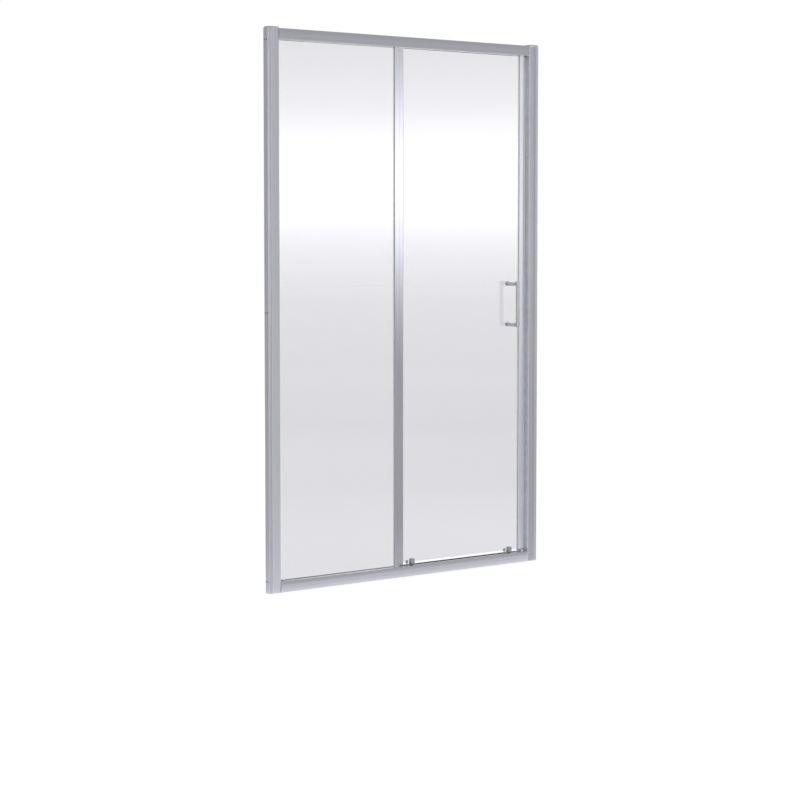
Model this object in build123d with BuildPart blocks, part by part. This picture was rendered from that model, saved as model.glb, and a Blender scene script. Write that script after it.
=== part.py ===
from build123d import *
import math
import os

os.makedirs("parts", exist_ok=True)

# A framed sliding shower door for an alcove: one fixed pane in front, one pane that slides behind it.
# Millimetres, +Z up, X along the door, -Y outside, +Y the shower side.
# The origin is the centre of the sill's underside. A depth is measured back from the front plane.

# Overall frame
WIDTH = 1155.0
HEIGHT = 1850.0
RAIL_HEIGHT = 36.0
RAIL_DEPTH = 42.0
POST_WIDTH = 33.0
POST_DEPTH = 30.0
CROWN = 2.0
WALL = 1.5
CAP_THICKNESS = 4.0
CAP_OVERHANG = 7.0
FRONT_EDGE = 2.5
EXTRUSION_EDGE = 1.2
OVERRUN = 2.0

# Wall channels and the screws that hold the posts in them
CHANNEL_REVEAL = 10.5
CHANNEL_LEG = 25.0
CHANNEL_PLAY = 0.25
WALL_HOLE_RADIUS = 2.5
WALL_HOLE_PITCH = 13.5
WALL_HOLE_END = 38.0
FIXING_END = 260.0
FIXING_INSET = 10.0
FIXING_RADIUS = 1.75
FIXING_LENGTH = 6.0
FIXING_HEAD_RADIUS = 3.5
FIXING_HEAD_HEIGHT = 2.0
COVER_RADIUS = 5.2
COVER_WALL = 1.0

# Glass and its seats
GLASS = 5.0
FIXED_GLASS_DEPTH = 12.0
DOOR_GLASS_DEPTH = 25.0
GASKET_LEG = 2.5
GASKET_BASE = 1.5
RAIL_GROOVE_REACH = 14.0
POST_GROOVE_REACH = 10.5
INFILL_LEG = 7.0
INFILL_PLAY = 0.1
INFILL_BARB = 0.6

# Stiles
FIXED_STILE_MIDDLE = -51.0
FIXED_STILE_WIDTH = 20.0
DOOR_STILE_WIDTH = 22.0
STILE_DEPTH = 10.0
STILE_EDGE = 1.2
STILE_GASKET_LEG = 1.3
STILE_GROOVE_REACH = 15.0
STILE_GASKET_BASE = 1.0
SEAL_SLOT_MOUTH = 3.0
SEAL_SLOT_WIDTH = 5.0
SEAL_SLOT_LIP = 1.2
SEAL_SLOT_REACH = 3.2
PLUG_HEIGHT = 6.0

# Sliding door
OVERLAP_STILE_LEFT = -37.0
CLOSING_SEAL_WIDTH = 5.8
MAGNET_GAP = 0.4
DOOR_LIFT = 10.0
DOOR_TOP_RISE = 18.0
OPEN_CLEARANCE = 27.0
FIN_REACH = 8.0
FIN_THICKNESS = 1.6
FIN_GAP = 0.4
SEAL_TOP_GAP = 2.0

# Magnet strip in the closing jamb
MAGNET_WIDTH = 8.0
MAGNET_NECK = 6.4
MAGNET_RECESS = 2.5
MAGNET_PROUD = 0.8

# Track and wheels
TRACK_OFFSET = 10.0
SHELF_LIP = 2.0
RIB_WIDTH = 2.5
RIB_HEIGHT = 4.0
RIB_SIDE_GAP = 0.3
ROLL_GAP = 0.1
TOP_TREAD_RADIUS = 9.0
GUIDE_TREAD_RADIUS = 6.5
FLANGE_HEIGHT = 2.0
WHEEL_WIDTH = 7.0
WHEEL_DISH = 0.8
HUB_RADIUS = 4.6
TOP_AXLE_RADIUS = 2.5
GUIDE_AXLE_RADIUS = 2.0
AXLE_HEAD_STEP = 1.2
AXLE_HEAD_HEIGHT = 1.0
RUNNING_GAP = 0.05
WHEEL_END_GAP = 0.2

# Screw ports and corner screws
SCREW_SIDES = 12
PORT_RADIUS = 4.0
PORT_BORE = 2.1
PORT_STEM = 1.0
PORT_SLOT = 2.0
CORNER_SCREW_RADIUS = 1.95
CORNER_SCREW_BITE = 18.0
CORNER_HEAD_RADIUS = 3.3
CORNER_HEAD_HEIGHT = 2.5
CORNER_HOLE_PLAY = 0.35

# Top roller carriages
LEFT_ROLLER_INSET = 48.5
RIGHT_ROLLER_INSET = 60.0
CARRIAGE_LENGTH = 50.0
CARRIAGE_PLATE = 3.0
CARRIAGE_TOP = 24.0
CARRIAGE_BOTTOM = 2.5
CARRIAGE_FLANGE = 1.5
CARRIAGE_FLANGE_REACH = 6.5
CARRIAGE_FLANGE_BOTTOM = 8.0
CARRIAGE_FLANGE_TOP = 20.0
CARRIAGE_CORNER = 2.0
WHEEL_PITCH = 23.4
CLAMP_EDGE = 10.0
CLAMP_SCREW_RADIUS = 2.0
CLAMP_HEAD_RADIUS = 3.5
CLAMP_HEAD_HEIGHT = 1.8
BUSH_RADIUS = 3.8
BUSH_FLANGE_RADIUS = 6.0
BUSH_FLANGE = 1.5
GLASS_HOLE_PLAY = 0.2

# Bottom guide units
GUIDE_LENGTH = 31.0
GUIDE_JAW_WIDTH = 16.0
GUIDE_JAW_TOP = 10.5
GUIDE_BRACKET_DEPTH = 5.0
GUIDE_BASE_TOP = 2.0
GUIDE_BASE_HEIGHT = 4.0
GUIDE_SCREW_RISE = 6.5
GUIDE_PAD = 2.5
GUIDE_PAD_DROP = 6.0
GUIDE_EDGE = 0.8
BUTTON_WIDTH = 8.0
BUTTON_DEPTH = 6.5
BUTTON_HEIGHT = 5.5
BUTTON_EDGE = 1.0
BUTTON_GAP = 0.4
COLLAR_DROP = 4.0
COLLAR_WALL = 1.0
COLLAR_PLAY = 0.3
STEM_RADIUS = 1.25
STEM_OFFSET = 4.7
BOSS_RADIUS = 4.5
BOSS_WIDTH = 2.6
BOSS_GAP = 0.5
SPRING_TURNS = 3
SPRING_RADIUS = 2.0
SPRING_WIRE = 0.35
SPRING_WIRE_SIDES = 6
SPRING_SAMPLES = 180

# Handle
HANDLE_INSET = 55.0
HANDLE_MIDDLE = 930.0
HANDLE_PITCH = 145.0
HANDLE_LENGTH = 165.0
HANDLE_BAR_WIDTH = 13.0
HANDLE_BAR_DEPTH = 8.0
HANDLE_BAR_EDGE = 1.6
HANDLE_STANDOFF_RADIUS = 8.0
HANDLE_STANDOFF_LENGTH = 38.7
HANDLE_WASHER = 0.8
HANDLE_HOLE_RADIUS = 4.0
HANDLE_SLEEVE = 2.3
HANDLE_BOLT_RADIUS = 2.5
HANDLE_BOLT_BITE = 10.0
KNOB_RADIUS = 8.0
KNOB_LENGTH = 14.0
KNOB_EDGE = 2.0
KNOB_NECK_RADIUS = 6.5
KNOB_NECK = 2.0

# Door stops in the head rail
STOP_LENGTH = 15.0
STOP_BUFFER = 3.0
STOP_GAP = 0.5
STOP_BOTTOM = 6.0
STOP_TOP = 22.0
STOP_FRONT = 31.5
STOP_SCREW_RADIUS = 2.0
STOP_SCREW_BITE = 7.0
STOP_HEAD_RADIUS = 3.5
STOP_HEAD_HEIGHT = 2.0

# Drain slots through the sill's back wall
DRAIN_PITCH = 320.0
DRAIN_COUNT = 3
DRAIN_LENGTH = 20.0
DRAIN_HEIGHT = 3.0

# Places that follow from the sizes
front = -RAIL_DEPTH / 2
half_width = WIDTH / 2
jamb = half_width - CHANNEL_REVEAL - POST_WIDTH
post_height = HEIGHT - CAP_THICKNESS
head_mouth = post_height - RAIL_HEIGHT
glazing_groove = GLASS + 2 * GASKET_LEG
stile_groove = GLASS + 2 * STILE_GASKET_LEG
channel_depth = POST_DEPTH - CROWN - 2 * WALL - 2 * CHANNEL_PLAY
channel_front = CROWN + WALL + CHANNEL_PLAY
channel_middle = channel_front + channel_depth / 2
port_rise = RAIL_HEIGHT - WALL - PORT_STEM - PORT_RADIUS
glazing_wall_back = FIXED_GLASS_DEPTH + glazing_groove / 2 + WALL
track_depth = DOOR_GLASS_DEPTH + TRACK_OFFSET
door_glass_front = DOOR_GLASS_DEPTH - GLASS / 2
door_glass_back = DOOR_GLASS_DEPTH + GLASS / 2
fixed_stile_left = FIXED_STILE_MIDDLE - FIXED_STILE_WIDTH / 2
fixed_stile_right = FIXED_STILE_MIDDLE + FIXED_STILE_WIDTH / 2
fixed_glass_right = fixed_stile_left + STILE_GROOVE_REACH - STILE_GASKET_BASE
door_edge = jamb - MAGNET_PROUD - MAGNET_GAP - CLOSING_SEAL_WIDTH
door_bottom = RAIL_HEIGHT + DOOR_LIFT
door_top = head_mouth + DOOR_TOP_RISE
overlap_glass_edge = OVERLAP_STILE_LEFT + DOOR_STILE_WIDTH - STILE_GROOVE_REACH + STILE_GASKET_BASE
closing_glass_edge = door_edge - DOOR_STILE_WIDTH + STILE_GROOVE_REACH - STILE_GASKET_BASE
top_axle_z = head_mouth + WALL + RIB_HEIGHT + ROLL_GAP + TOP_TREAD_RADIUS
guide_axle_z = RAIL_HEIGHT - WALL - RIB_HEIGHT - ROLL_GAP - GUIDE_TREAD_RADIUS
wheel_front = track_depth - WHEEL_WIDTH / 2
wheel_back = track_depth + WHEEL_WIDTH / 2
handle_heights = (HANDLE_MIDDLE - HANDLE_PITCH / 2, HANDLE_MIDDLE + HANDLE_PITCH / 2)
left_roller_x = overlap_glass_edge + LEFT_ROLLER_INSET
right_roller_x = closing_glass_edge - RIGHT_ROLLER_INSET
roller_places = (left_roller_x, right_roller_x)
handle_x = closing_glass_edge - HANDLE_INSET
door_travel = jamb + OVERLAP_STILE_LEFT - OPEN_CLEARANCE


def at(depth):
    """Y of a depth behind the front plane."""
    return front + depth


def span(corner, opposite, mode=Mode.ADD):
    """Rectangle between two corners, added to the open sketch or cut from it."""
    middle = ((corner[0] + opposite[0]) / 2, (corner[1] + opposite[1]) / 2)
    with Locations(middle):
        Rectangle(abs(opposite[0] - corner[0]), abs(opposite[1] - corner[1]), mode=mode)


def turned(outline):
    """Solid turned about the Y axis from (radius, y) points."""
    with BuildPart() as piece:
        with BuildSketch(Plane.XY):
            with BuildLine():
                Polyline(*outline, close=True)
            make_face()
        revolve(axis=Axis.Y)
    return piece.part


def plain_screw(radius, length, head_radius, head_height):
    """Screw along +Y with the underside of its head at zero, its rounds drawn as flats."""
    with BuildPart() as screw:
        with BuildSketch(Plane.XZ):
            RegularPolygon(head_radius, SCREW_SIDES)
        extrude(amount=head_height)
        with BuildSketch(Plane.XZ):
            RegularPolygon(radius, SCREW_SIDES)
        extrude(amount=-length)
    return screw.part


# Wall channels: U extrusions that are screwed to the walls and slide inside the posts
def wall_channel(side):
    web = side * half_width
    web_inside = web - side * WALL
    tip = web - side * CHANNEL_LEG
    back = channel_front + channel_depth
    with BuildPart() as channel:
        with BuildSketch(Plane.XY):
            span((web, at(channel_front)), (tip, at(back)))
            span((web_inside, at(channel_front + WALL)), (tip, at(back - WALL)), Mode.SUBTRACT)
        extrude(amount=post_height)
        with BuildSketch(Plane.YZ.offset(web)):
            for z in wall_hole_heights:
                with Locations((at(channel_middle), z)):
                    with GridLocations(WALL_HOLE_PITCH, 0, 2, 1):
                        Circle(WALL_HOLE_RADIUS)
        extrude(amount=OVERRUN, both=True, mode=Mode.SUBTRACT)
        with BuildSketch(Plane.XZ.offset(-at(back))):
            with Locations(*[(side * fixing_x, z) for z in fixing_heights]):
                Circle(FIXING_RADIUS)
        extrude(amount=OVERRUN, both=True, mode=Mode.SUBTRACT)
    return channel


fixing_x = jamb + POST_WIDTH - FIXING_INSET
fixing_heights = (FIXING_END, post_height / 2, post_height - FIXING_END)
wall_hole_heights = (WALL_HOLE_END, post_height / 2, post_height - WALL_HOLE_END)

left_wall_channel = wall_channel(-1)
left_wall_channel.part.label = "left_wall_channel"
export_step(left_wall_channel.part, "parts/left_wall_channel.step")

right_wall_channel = wall_channel(1)
right_wall_channel.part.label = "right_wall_channel"
export_step(right_wall_channel.part, "parts/right_wall_channel.step")


# Posts: crowned front, a deep pocket for the wall channel, chambers towards the doorway
def post_outline(side, width):
    """Outline of a post, or of its cap, from the doorway side outwards."""
    inner = side * jamb
    middle = side * (jamb + width / 2)
    outer = side * (jamb + width)
    with BuildSketch(Plane.XY) as outline:
        with BuildLine():
            ThreePointArc((inner, at(CROWN)), (middle, at(0)), (outer, at(CROWN)))
            Polyline(
                (outer, at(CROWN)),
                (outer, at(POST_DEPTH)),
                (inner, at(POST_DEPTH)),
                (inner, at(CROWN)),
            )
        make_face()
        fillet(outline.vertices().group_by(Axis.Y)[-1], radius=EXTRUSION_EDGE)
        fillet(outline.vertices().group_by(Axis.Y)[0], radius=FRONT_EDGE)
    return outline.sketch


def post(side, glazed):
    inner = side * jamb
    pocket = side * (jamb + POST_GROOVE_REACH + WALL)
    outer = side * (jamb + POST_WIDTH)
    chamber_near = side * (jamb + WALL)
    chamber_far = side * (jamb + POST_GROOVE_REACH)
    chamber_back = at(POST_DEPTH - WALL)
    groove_front = FIXED_GLASS_DEPTH - glazing_groove / 2
    groove_back = FIXED_GLASS_DEPTH + glazing_groove / 2
    recess_front = DOOR_GLASS_DEPTH - MAGNET_WIDTH / 2
    recess_wall = side * (jamb + MAGNET_RECESS + WALL)
    recess_chamber_front = at(recess_front - OVERRUN / 2)
    with BuildPart() as body:
        with BuildSketch(Plane.XY):
            add(post_outline(side, POST_WIDTH))
            span((pocket, at(CROWN + WALL)), (outer, at(POST_DEPTH - WALL)), Mode.SUBTRACT)
            if glazed:
                span((inner, at(groove_front)), (chamber_far, at(groove_back)), Mode.SUBTRACT)
                span((chamber_near, at(CROWN + WALL)), (chamber_far, at(groove_front - WALL)), Mode.SUBTRACT)
                span((chamber_near, at(groove_back + WALL)), (chamber_far, chamber_back), Mode.SUBTRACT)
            else:
                span((chamber_near, at(CROWN + WALL)), (chamber_far, at(recess_front - WALL)), Mode.SUBTRACT)
                span((recess_wall, recess_chamber_front), (chamber_far, chamber_back), Mode.SUBTRACT)
                magnet_profile(MAGNET_NECK / 2, MAGNET_WIDTH / 2, 0, Mode.SUBTRACT)
        extrude(amount=post_height)
        with BuildSketch(Plane.YZ.offset(inner)):
            with Locations(*[(at(depth), z) for depth, z in corner_screw_places]):
                Circle(CORNER_SCREW_RADIUS + CORNER_HOLE_PLAY)
        extrude(amount=side * (POST_WIDTH / 2), mode=Mode.SUBTRACT)
        with BuildSketch(Plane.XZ.offset(-at(POST_DEPTH))):
            with Locations(*[(side * fixing_x, z) for z in fixing_heights]):
                Circle(FIXING_RADIUS)
        extrude(amount=OVERRUN, both=True, mode=Mode.SUBTRACT)
    return body


def magnet_profile(neck, foot, proud, mode=Mode.ADD):
    """Dovetail of the magnet strip, its narrow face towards the doorway."""
    Polygon(
        (jamb - proud, at(DOOR_GLASS_DEPTH - neck)),
        (jamb, at(DOOR_GLASS_DEPTH - neck)),
        (jamb + MAGNET_RECESS, at(DOOR_GLASS_DEPTH - foot)),
        (jamb + MAGNET_RECESS, at(DOOR_GLASS_DEPTH + foot)),
        (jamb, at(DOOR_GLASS_DEPTH + neck)),
        (jamb - proud, at(DOOR_GLASS_DEPTH + neck)),
        align=None,
        mode=mode,
    )


corner_screw_places = [
    (depth, z)
    for depth in (FIXED_GLASS_DEPTH, DOOR_GLASS_DEPTH)
    for z in (RAIL_HEIGHT - port_rise, head_mouth + port_rise)
]

left_post = post(-1, glazed=True)
left_post.part.label = "left_post"
export_step(left_post.part, "parts/left_post.step")

right_post = post(1, glazed=False)
right_post.part.label = "right_post"
export_step(right_post.part, "parts/right_post.step")


# Post caps: a crowned plate that reaches over the wall channel, and a plug between the channel's legs
def post_cap(side):
    plug_near = side * (jamb + POST_GROOVE_REACH + WALL + CORNER_HEAD_HEIGHT + CHANNEL_PLAY)
    plug_far = side * (jamb + POST_WIDTH - CHANNEL_PLAY)
    plug_front = channel_front + WALL + CHANNEL_PLAY
    plug_back = channel_front + channel_depth - WALL - CHANNEL_PLAY
    with BuildPart() as cap:
        with BuildSketch(Plane.XY.offset(post_height)):
            add(post_outline(side, POST_WIDTH + CAP_OVERHANG))
        extrude(amount=CAP_THICKNESS)
        chamfer(cap.edges().group_by(Axis.Z)[-1], length=EXTRUSION_EDGE / 2)
        with BuildSketch(Plane.XY.offset(post_height)):
            span((plug_near, at(plug_front)), (plug_far, at(plug_back)))
        extrude(amount=-2 * CAP_THICKNESS)
    return cap


left_post_cap = post_cap(-1)
left_post_cap.part.label = "left_post_cap"
export_step(left_post_cap.part, "parts/left_post_cap.step")

right_post_cap = post_cap(1)
right_post_cap.part.label = "right_post_cap"
export_step(right_post_cap.part, "parts/right_post_cap.step")


# Head rail and sill: one extrusion, mouth down at the head and mouth up at the sill.
# In front is a crowned double wall, then the glazing channel, then the roller compartment with its rib.
def rail(mouth, up):
    def rise(height):
        return mouth + up * height

    inner_wall_front = FIXED_GLASS_DEPTH - glazing_groove / 2 - WALL
    groove_front = FIXED_GLASS_DEPTH - glazing_groove / 2
    groove_back = FIXED_GLASS_DEPTH + glazing_groove / 2
    shelf_front = track_depth - SHELF_LIP
    rib_round = RIB_WIDTH / 2
    with BuildPart() as body:
        with BuildSketch(Plane.YZ.offset(-jamb)) as section:
            with BuildLine():
                ThreePointArc(
                    (at(CROWN), rise(0)),
                    (at(0), rise(RAIL_HEIGHT / 2)),
                    (at(CROWN), rise(RAIL_HEIGHT)),
                )
                Polyline(
                    (at(CROWN), rise(RAIL_HEIGHT)),
                    (at(RAIL_DEPTH), rise(RAIL_HEIGHT)),
                    (at(RAIL_DEPTH), rise(0)),
                    (at(CROWN), rise(0)),
                )
            make_face()
            fillet(section.vertices().group_by(Axis.X)[-1], radius=EXTRUSION_EDGE)
            fillet(section.vertices().group_by(Axis.X)[0], radius=FRONT_EDGE)
            with BuildLine():
                ThreePointArc(
                    (at(CROWN + WALL), rise(WALL)),
                    (at(WALL), rise(RAIL_HEIGHT / 2)),
                    (at(CROWN + WALL), rise(RAIL_HEIGHT - WALL)),
                )
                Polyline(
                    (at(CROWN + WALL), rise(RAIL_HEIGHT - WALL)),
                    (at(inner_wall_front), rise(RAIL_HEIGHT - WALL)),
                    (at(inner_wall_front), rise(WALL)),
                    (at(CROWN + WALL), rise(WALL)),
                )
            make_face(mode=Mode.SUBTRACT)
            span((at(groove_front), rise(0)), (at(groove_back), rise(RAIL_GROOVE_REACH)), Mode.SUBTRACT)
            span(
                (at(groove_front), rise(RAIL_GROOVE_REACH + WALL)),
                (at(groove_back), rise(RAIL_HEIGHT - WALL)),
                Mode.SUBTRACT,
            )
            span(
                (at(glazing_wall_back), rise(WALL)),
                (at(RAIL_DEPTH - WALL), rise(RAIL_HEIGHT - WALL)),
                Mode.SUBTRACT,
            )
            span((at(glazing_wall_back), rise(0)), (at(shelf_front), rise(WALL)), Mode.SUBTRACT)
            span(
                (at(track_depth - rib_round), rise(WALL)),
                (at(track_depth + rib_round), rise(WALL + RIB_HEIGHT - rib_round)),
            )
            with Locations((at(track_depth), rise(WALL + RIB_HEIGHT - rib_round))):
                Circle(rib_round)
            for depth in (FIXED_GLASS_DEPTH, DOOR_GLASS_DEPTH):
                with Locations((at(depth), rise(port_rise))):
                    Circle(PORT_RADIUS)
                span(
                    (at(depth - PORT_SLOT), rise(port_rise)),
                    (at(depth + PORT_SLOT), rise(RAIL_HEIGHT - WALL)),
                )
                with Locations((at(depth), rise(port_rise))):
                    Circle(PORT_BORE, mode=Mode.SUBTRACT)
                span(
                    (at(depth - PORT_SLOT / 2), rise(port_rise - PORT_RADIUS)),
                    (at(depth + PORT_SLOT / 2), rise(port_rise)),
                    Mode.SUBTRACT,
                )
        extrude(amount=2 * jamb)
    return body.part


stop_z = head_mouth + (STOP_BOTTOM + STOP_TOP) / 2
left_stop = left_roller_x - CARRIAGE_LENGTH / 2 - door_travel - STOP_GAP - STOP_BUFFER
right_stop = right_roller_x + CARRIAGE_LENGTH / 2 + STOP_GAP + STOP_BUFFER
stop_middles = (left_stop - STOP_LENGTH / 2, right_stop + STOP_LENGTH / 2)

with BuildPart() as head_rail:
    add(rail(head_mouth, 1))
    with BuildSketch(Plane.XZ.offset(-at(RAIL_DEPTH))):
        with Locations(*[(x, stop_z) for x in stop_middles]):
            Circle(STOP_SCREW_RADIUS)
    extrude(amount=WALL + OVERRUN, both=True, mode=Mode.SUBTRACT)
head_rail.part.label = "head_rail"
export_step(head_rail.part, "parts/head_rail.step")

with BuildPart() as sill:
    add(rail(RAIL_HEIGHT, -1))
    with BuildSketch(Plane.XZ.offset(-at(RAIL_DEPTH))):
        with Locations((0, WALL + DRAIN_HEIGHT / 2)):
            with GridLocations(DRAIN_PITCH, 0, DRAIN_COUNT, 1):
                SlotOverall(DRAIN_LENGTH, DRAIN_HEIGHT)
    extrude(amount=WALL + OVERRUN, both=True, mode=Mode.SUBTRACT)
sill.part.label = "sill"
export_step(sill.part, "parts/sill.step")

# Fixed pane, held in the post, the head rail and the sill
fixed_glass_left = -(jamb + POST_GROOVE_REACH - GASKET_BASE)
fixed_glass_low = RAIL_HEIGHT - RAIL_GROOVE_REACH + GASKET_BASE
fixed_glass_high = head_mouth + RAIL_GROOVE_REACH - GASKET_BASE
with BuildPart() as fixed_glass:
    with BuildSketch(Plane.XZ.offset(-at(FIXED_GLASS_DEPTH + GLASS / 2))):
        span((fixed_glass_left, fixed_glass_low), (fixed_glass_right, fixed_glass_high))
    extrude(amount=GLASS)
fixed_glass.part.label = "fixed_glass"
export_step(fixed_glass.part, "parts/fixed_glass.step")


# Stiles: a rounded bar with a groove for the glass on one side and a seal slot on the other
def stile(near, far, middle_depth, bottom, top, slotted):
    """Stile from its glass edge (near) to its free edge (far)."""
    out = 1 if far > near else -1
    width = abs(far - near)
    with BuildPart() as body:
        with BuildSketch(Plane.XY.offset(bottom)):
            with Locations(((near + far) / 2, at(middle_depth))):
                RectangleRounded(width, STILE_DEPTH, STILE_EDGE)
            groove_end = near + out * STILE_GROOVE_REACH
            span(
                (near, at(middle_depth - stile_groove / 2)),
                (groove_end, at(middle_depth + stile_groove / 2)),
                Mode.SUBTRACT,
            )
            if slotted:
                span(
                    (far, at(middle_depth - SEAL_SLOT_MOUTH / 2)),
                    (far - out * SEAL_SLOT_LIP, at(middle_depth + SEAL_SLOT_MOUTH / 2)),
                    Mode.SUBTRACT,
                )
                span(
                    (far - out * SEAL_SLOT_LIP, at(middle_depth - SEAL_SLOT_WIDTH / 2)),
                    (far - out * SEAL_SLOT_REACH, at(middle_depth + SEAL_SLOT_WIDTH / 2)),
                    Mode.SUBTRACT,
                )
        extrude(amount=top - bottom)
    return body


overlap_stile_right = OVERLAP_STILE_LEFT + DOOR_STILE_WIDTH
closing_stile_left = door_edge - DOOR_STILE_WIDTH

fixed_stile = stile(fixed_stile_left, fixed_stile_right, FIXED_GLASS_DEPTH, RAIL_HEIGHT, head_mouth, False)
fixed_stile.part.label = "fixed_stile"
export_step(fixed_stile.part, "parts/fixed_stile.step")

overlap_stile = stile(overlap_stile_right, OVERLAP_STILE_LEFT, DOOR_GLASS_DEPTH, door_bottom, door_top, True)
overlap_stile.part.label = "overlap_stile"
export_step(overlap_stile.part, "parts/overlap_stile.step")

closing_stile = stile(closing_stile_left, door_edge, DOOR_GLASS_DEPTH, door_bottom, door_top, True)
closing_stile.part.label = "closing_stile"
export_step(closing_stile.part, "parts/closing_stile.step")


# Glazing gaskets: a U of soft plastic round the edge of a pane, filling its groove
def upright_gasket(near, out, reach, base, leg, middle_depth, bottom, top):
    """Gasket in an upright groove that opens at near and runs in the direction out."""
    with BuildPart() as gasket:
        with BuildSketch(Plane.XY.offset(bottom)):
            span(
                (near, at(middle_depth - GLASS / 2 - leg)),
                (near + out * reach, at(middle_depth + GLASS / 2 + leg)),
            )
            span(
                (near, at(middle_depth - GLASS / 2)),
                (near + out * (reach - base), at(middle_depth + GLASS / 2)),
                Mode.SUBTRACT,
            )
        extrude(amount=top - bottom)
    return gasket


def rail_gasket(mouth, up):
    """Gasket in the glazing channel of a rail, along the fixed pane."""
    with BuildPart() as gasket:
        with BuildSketch(Plane.YZ.offset(-jamb)):
            span(
                (at(FIXED_GLASS_DEPTH - glazing_groove / 2), mouth),
                (at(FIXED_GLASS_DEPTH + glazing_groove / 2), mouth + up * RAIL_GROOVE_REACH),
            )
            span(
                (at(FIXED_GLASS_DEPTH - GLASS / 2), mouth),
                (at(FIXED_GLASS_DEPTH + GLASS / 2), mouth + up * (RAIL_GROOVE_REACH - GASKET_BASE)),
                Mode.SUBTRACT,
            )
        extrude(amount=jamb + fixed_glass_right)
    return gasket


post_gasket = upright_gasket(
    -jamb, -1, POST_GROOVE_REACH, GASKET_BASE, GASKET_LEG,
    FIXED_GLASS_DEPTH, fixed_glass_low, fixed_glass_high,
)
post_gasket.part.label = "post_gasket"
export_step(post_gasket.part, "parts/post_gasket.step")

fixed_stile_gasket = upright_gasket(
    fixed_stile_left, 1, STILE_GROOVE_REACH, STILE_GASKET_BASE, STILE_GASKET_LEG,
    FIXED_GLASS_DEPTH, RAIL_HEIGHT, head_mouth,
)
fixed_stile_gasket.part.label = "fixed_stile_gasket"
export_step(fixed_stile_gasket.part, "parts/fixed_stile_gasket.step")

overlap_stile_gasket = upright_gasket(
    overlap_stile_right, -1, STILE_GROOVE_REACH, STILE_GASKET_BASE, STILE_GASKET_LEG,
    DOOR_GLASS_DEPTH, door_bottom, door_top,
)
overlap_stile_gasket.part.label = "overlap_stile_gasket"
export_step(overlap_stile_gasket.part, "parts/overlap_stile_gasket.step")

closing_stile_gasket = upright_gasket(
    closing_stile_left, 1, STILE_GROOVE_REACH, STILE_GASKET_BASE, STILE_GASKET_LEG,
    DOOR_GLASS_DEPTH, door_bottom, door_top,
)
closing_stile_gasket.part.label = "closing_stile_gasket"
export_step(closing_stile_gasket.part, "parts/closing_stile_gasket.step")

head_gasket = rail_gasket(head_mouth, 1)
head_gasket.part.label = "head_gasket"
export_step(head_gasket.part, "parts/head_gasket.step")

sill_gasket = rail_gasket(RAIL_HEIGHT, -1)
sill_gasket.part.label = "sill_gasket"
export_step(sill_gasket.part, "parts/sill_gasket.step")


# Infill strips: barbed covers pressed into the empty glazing channel along the doorway
def infill_strip(mouth, up):
    near = FIXED_GLASS_DEPTH - glazing_groove / 2 + INFILL_PLAY
    far = FIXED_GLASS_DEPTH + glazing_groove / 2 - INFILL_PLAY
    left = fixed_glass_right + INFILL_PLAY
    with BuildPart() as strip:
        with BuildSketch(Plane.YZ.offset(left)):
            for edge, inward in ((near, 1), (far, -1)):
                shin = edge + inward * INFILL_BARB
                with BuildLine():
                    Polyline(
                        (at(edge), mouth),
                        (at(edge), mouth + up * WALL),
                        (at(shin), mouth + up * WALL),
                        (at(shin), mouth + up * (INFILL_LEG - WALL)),
                        (at(edge), mouth + up * (INFILL_LEG - WALL)),
                        (at(shin + inward * INFILL_BARB), mouth + up * INFILL_LEG),
                        (at(shin + inward * WALL), mouth + up * INFILL_LEG),
                        (at(shin + inward * WALL), mouth + up * WALL),
                        (at(FIXED_GLASS_DEPTH), mouth + up * WALL),
                        (at(FIXED_GLASS_DEPTH), mouth),
                        close=True,
                    )
                make_face()
        extrude(amount=jamb - left)
    return strip


head_infill_strip = infill_strip(head_mouth, 1)
head_infill_strip.part.label = "head_infill_strip"
export_step(head_infill_strip.part, "parts/head_infill_strip.step")

sill_infill_strip = infill_strip(RAIL_HEIGHT, -1)
sill_infill_strip.part.label = "sill_infill_strip"
export_step(sill_infill_strip.part, "parts/sill_infill_strip.step")

# Magnet strip in the closing jamb
with BuildPart() as jamb_magnet_strip:
    with BuildSketch(Plane.XY.offset(RAIL_HEIGHT)):
        magnet_profile(MAGNET_NECK / 2, MAGNET_WIDTH / 2, MAGNET_PROUD)
    extrude(amount=head_mouth - RAIL_HEIGHT)
jamb_magnet_strip.part.label = "jamb_magnet_strip"
export_step(jamb_magnet_strip.part, "parts/jamb_magnet_strip.step")

# Corner screws: through the web of each post into the screw ports of both rails
corner_seat = jamb + POST_GROOVE_REACH + WALL
corner_screw = plain_screw(
    CORNER_SCREW_RADIUS,
    POST_GROOVE_REACH + WALL + CORNER_SCREW_BITE,
    CORNER_HEAD_RADIUS,
    CORNER_HEAD_HEIGHT,
)
with BuildPart() as corner_screws:
    for depth, z in corner_screw_places:
        with Locations(
            Location((-corner_seat, at(depth), z), (0, 0, -90)),
            Location((corner_seat, at(depth), z), (0, 0, 90)),
        ):
            add(corner_screw)
corner_screws.part.label = "corner_screws"
export_step(corner_screws.part, "parts/corner_screws.step")

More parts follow.
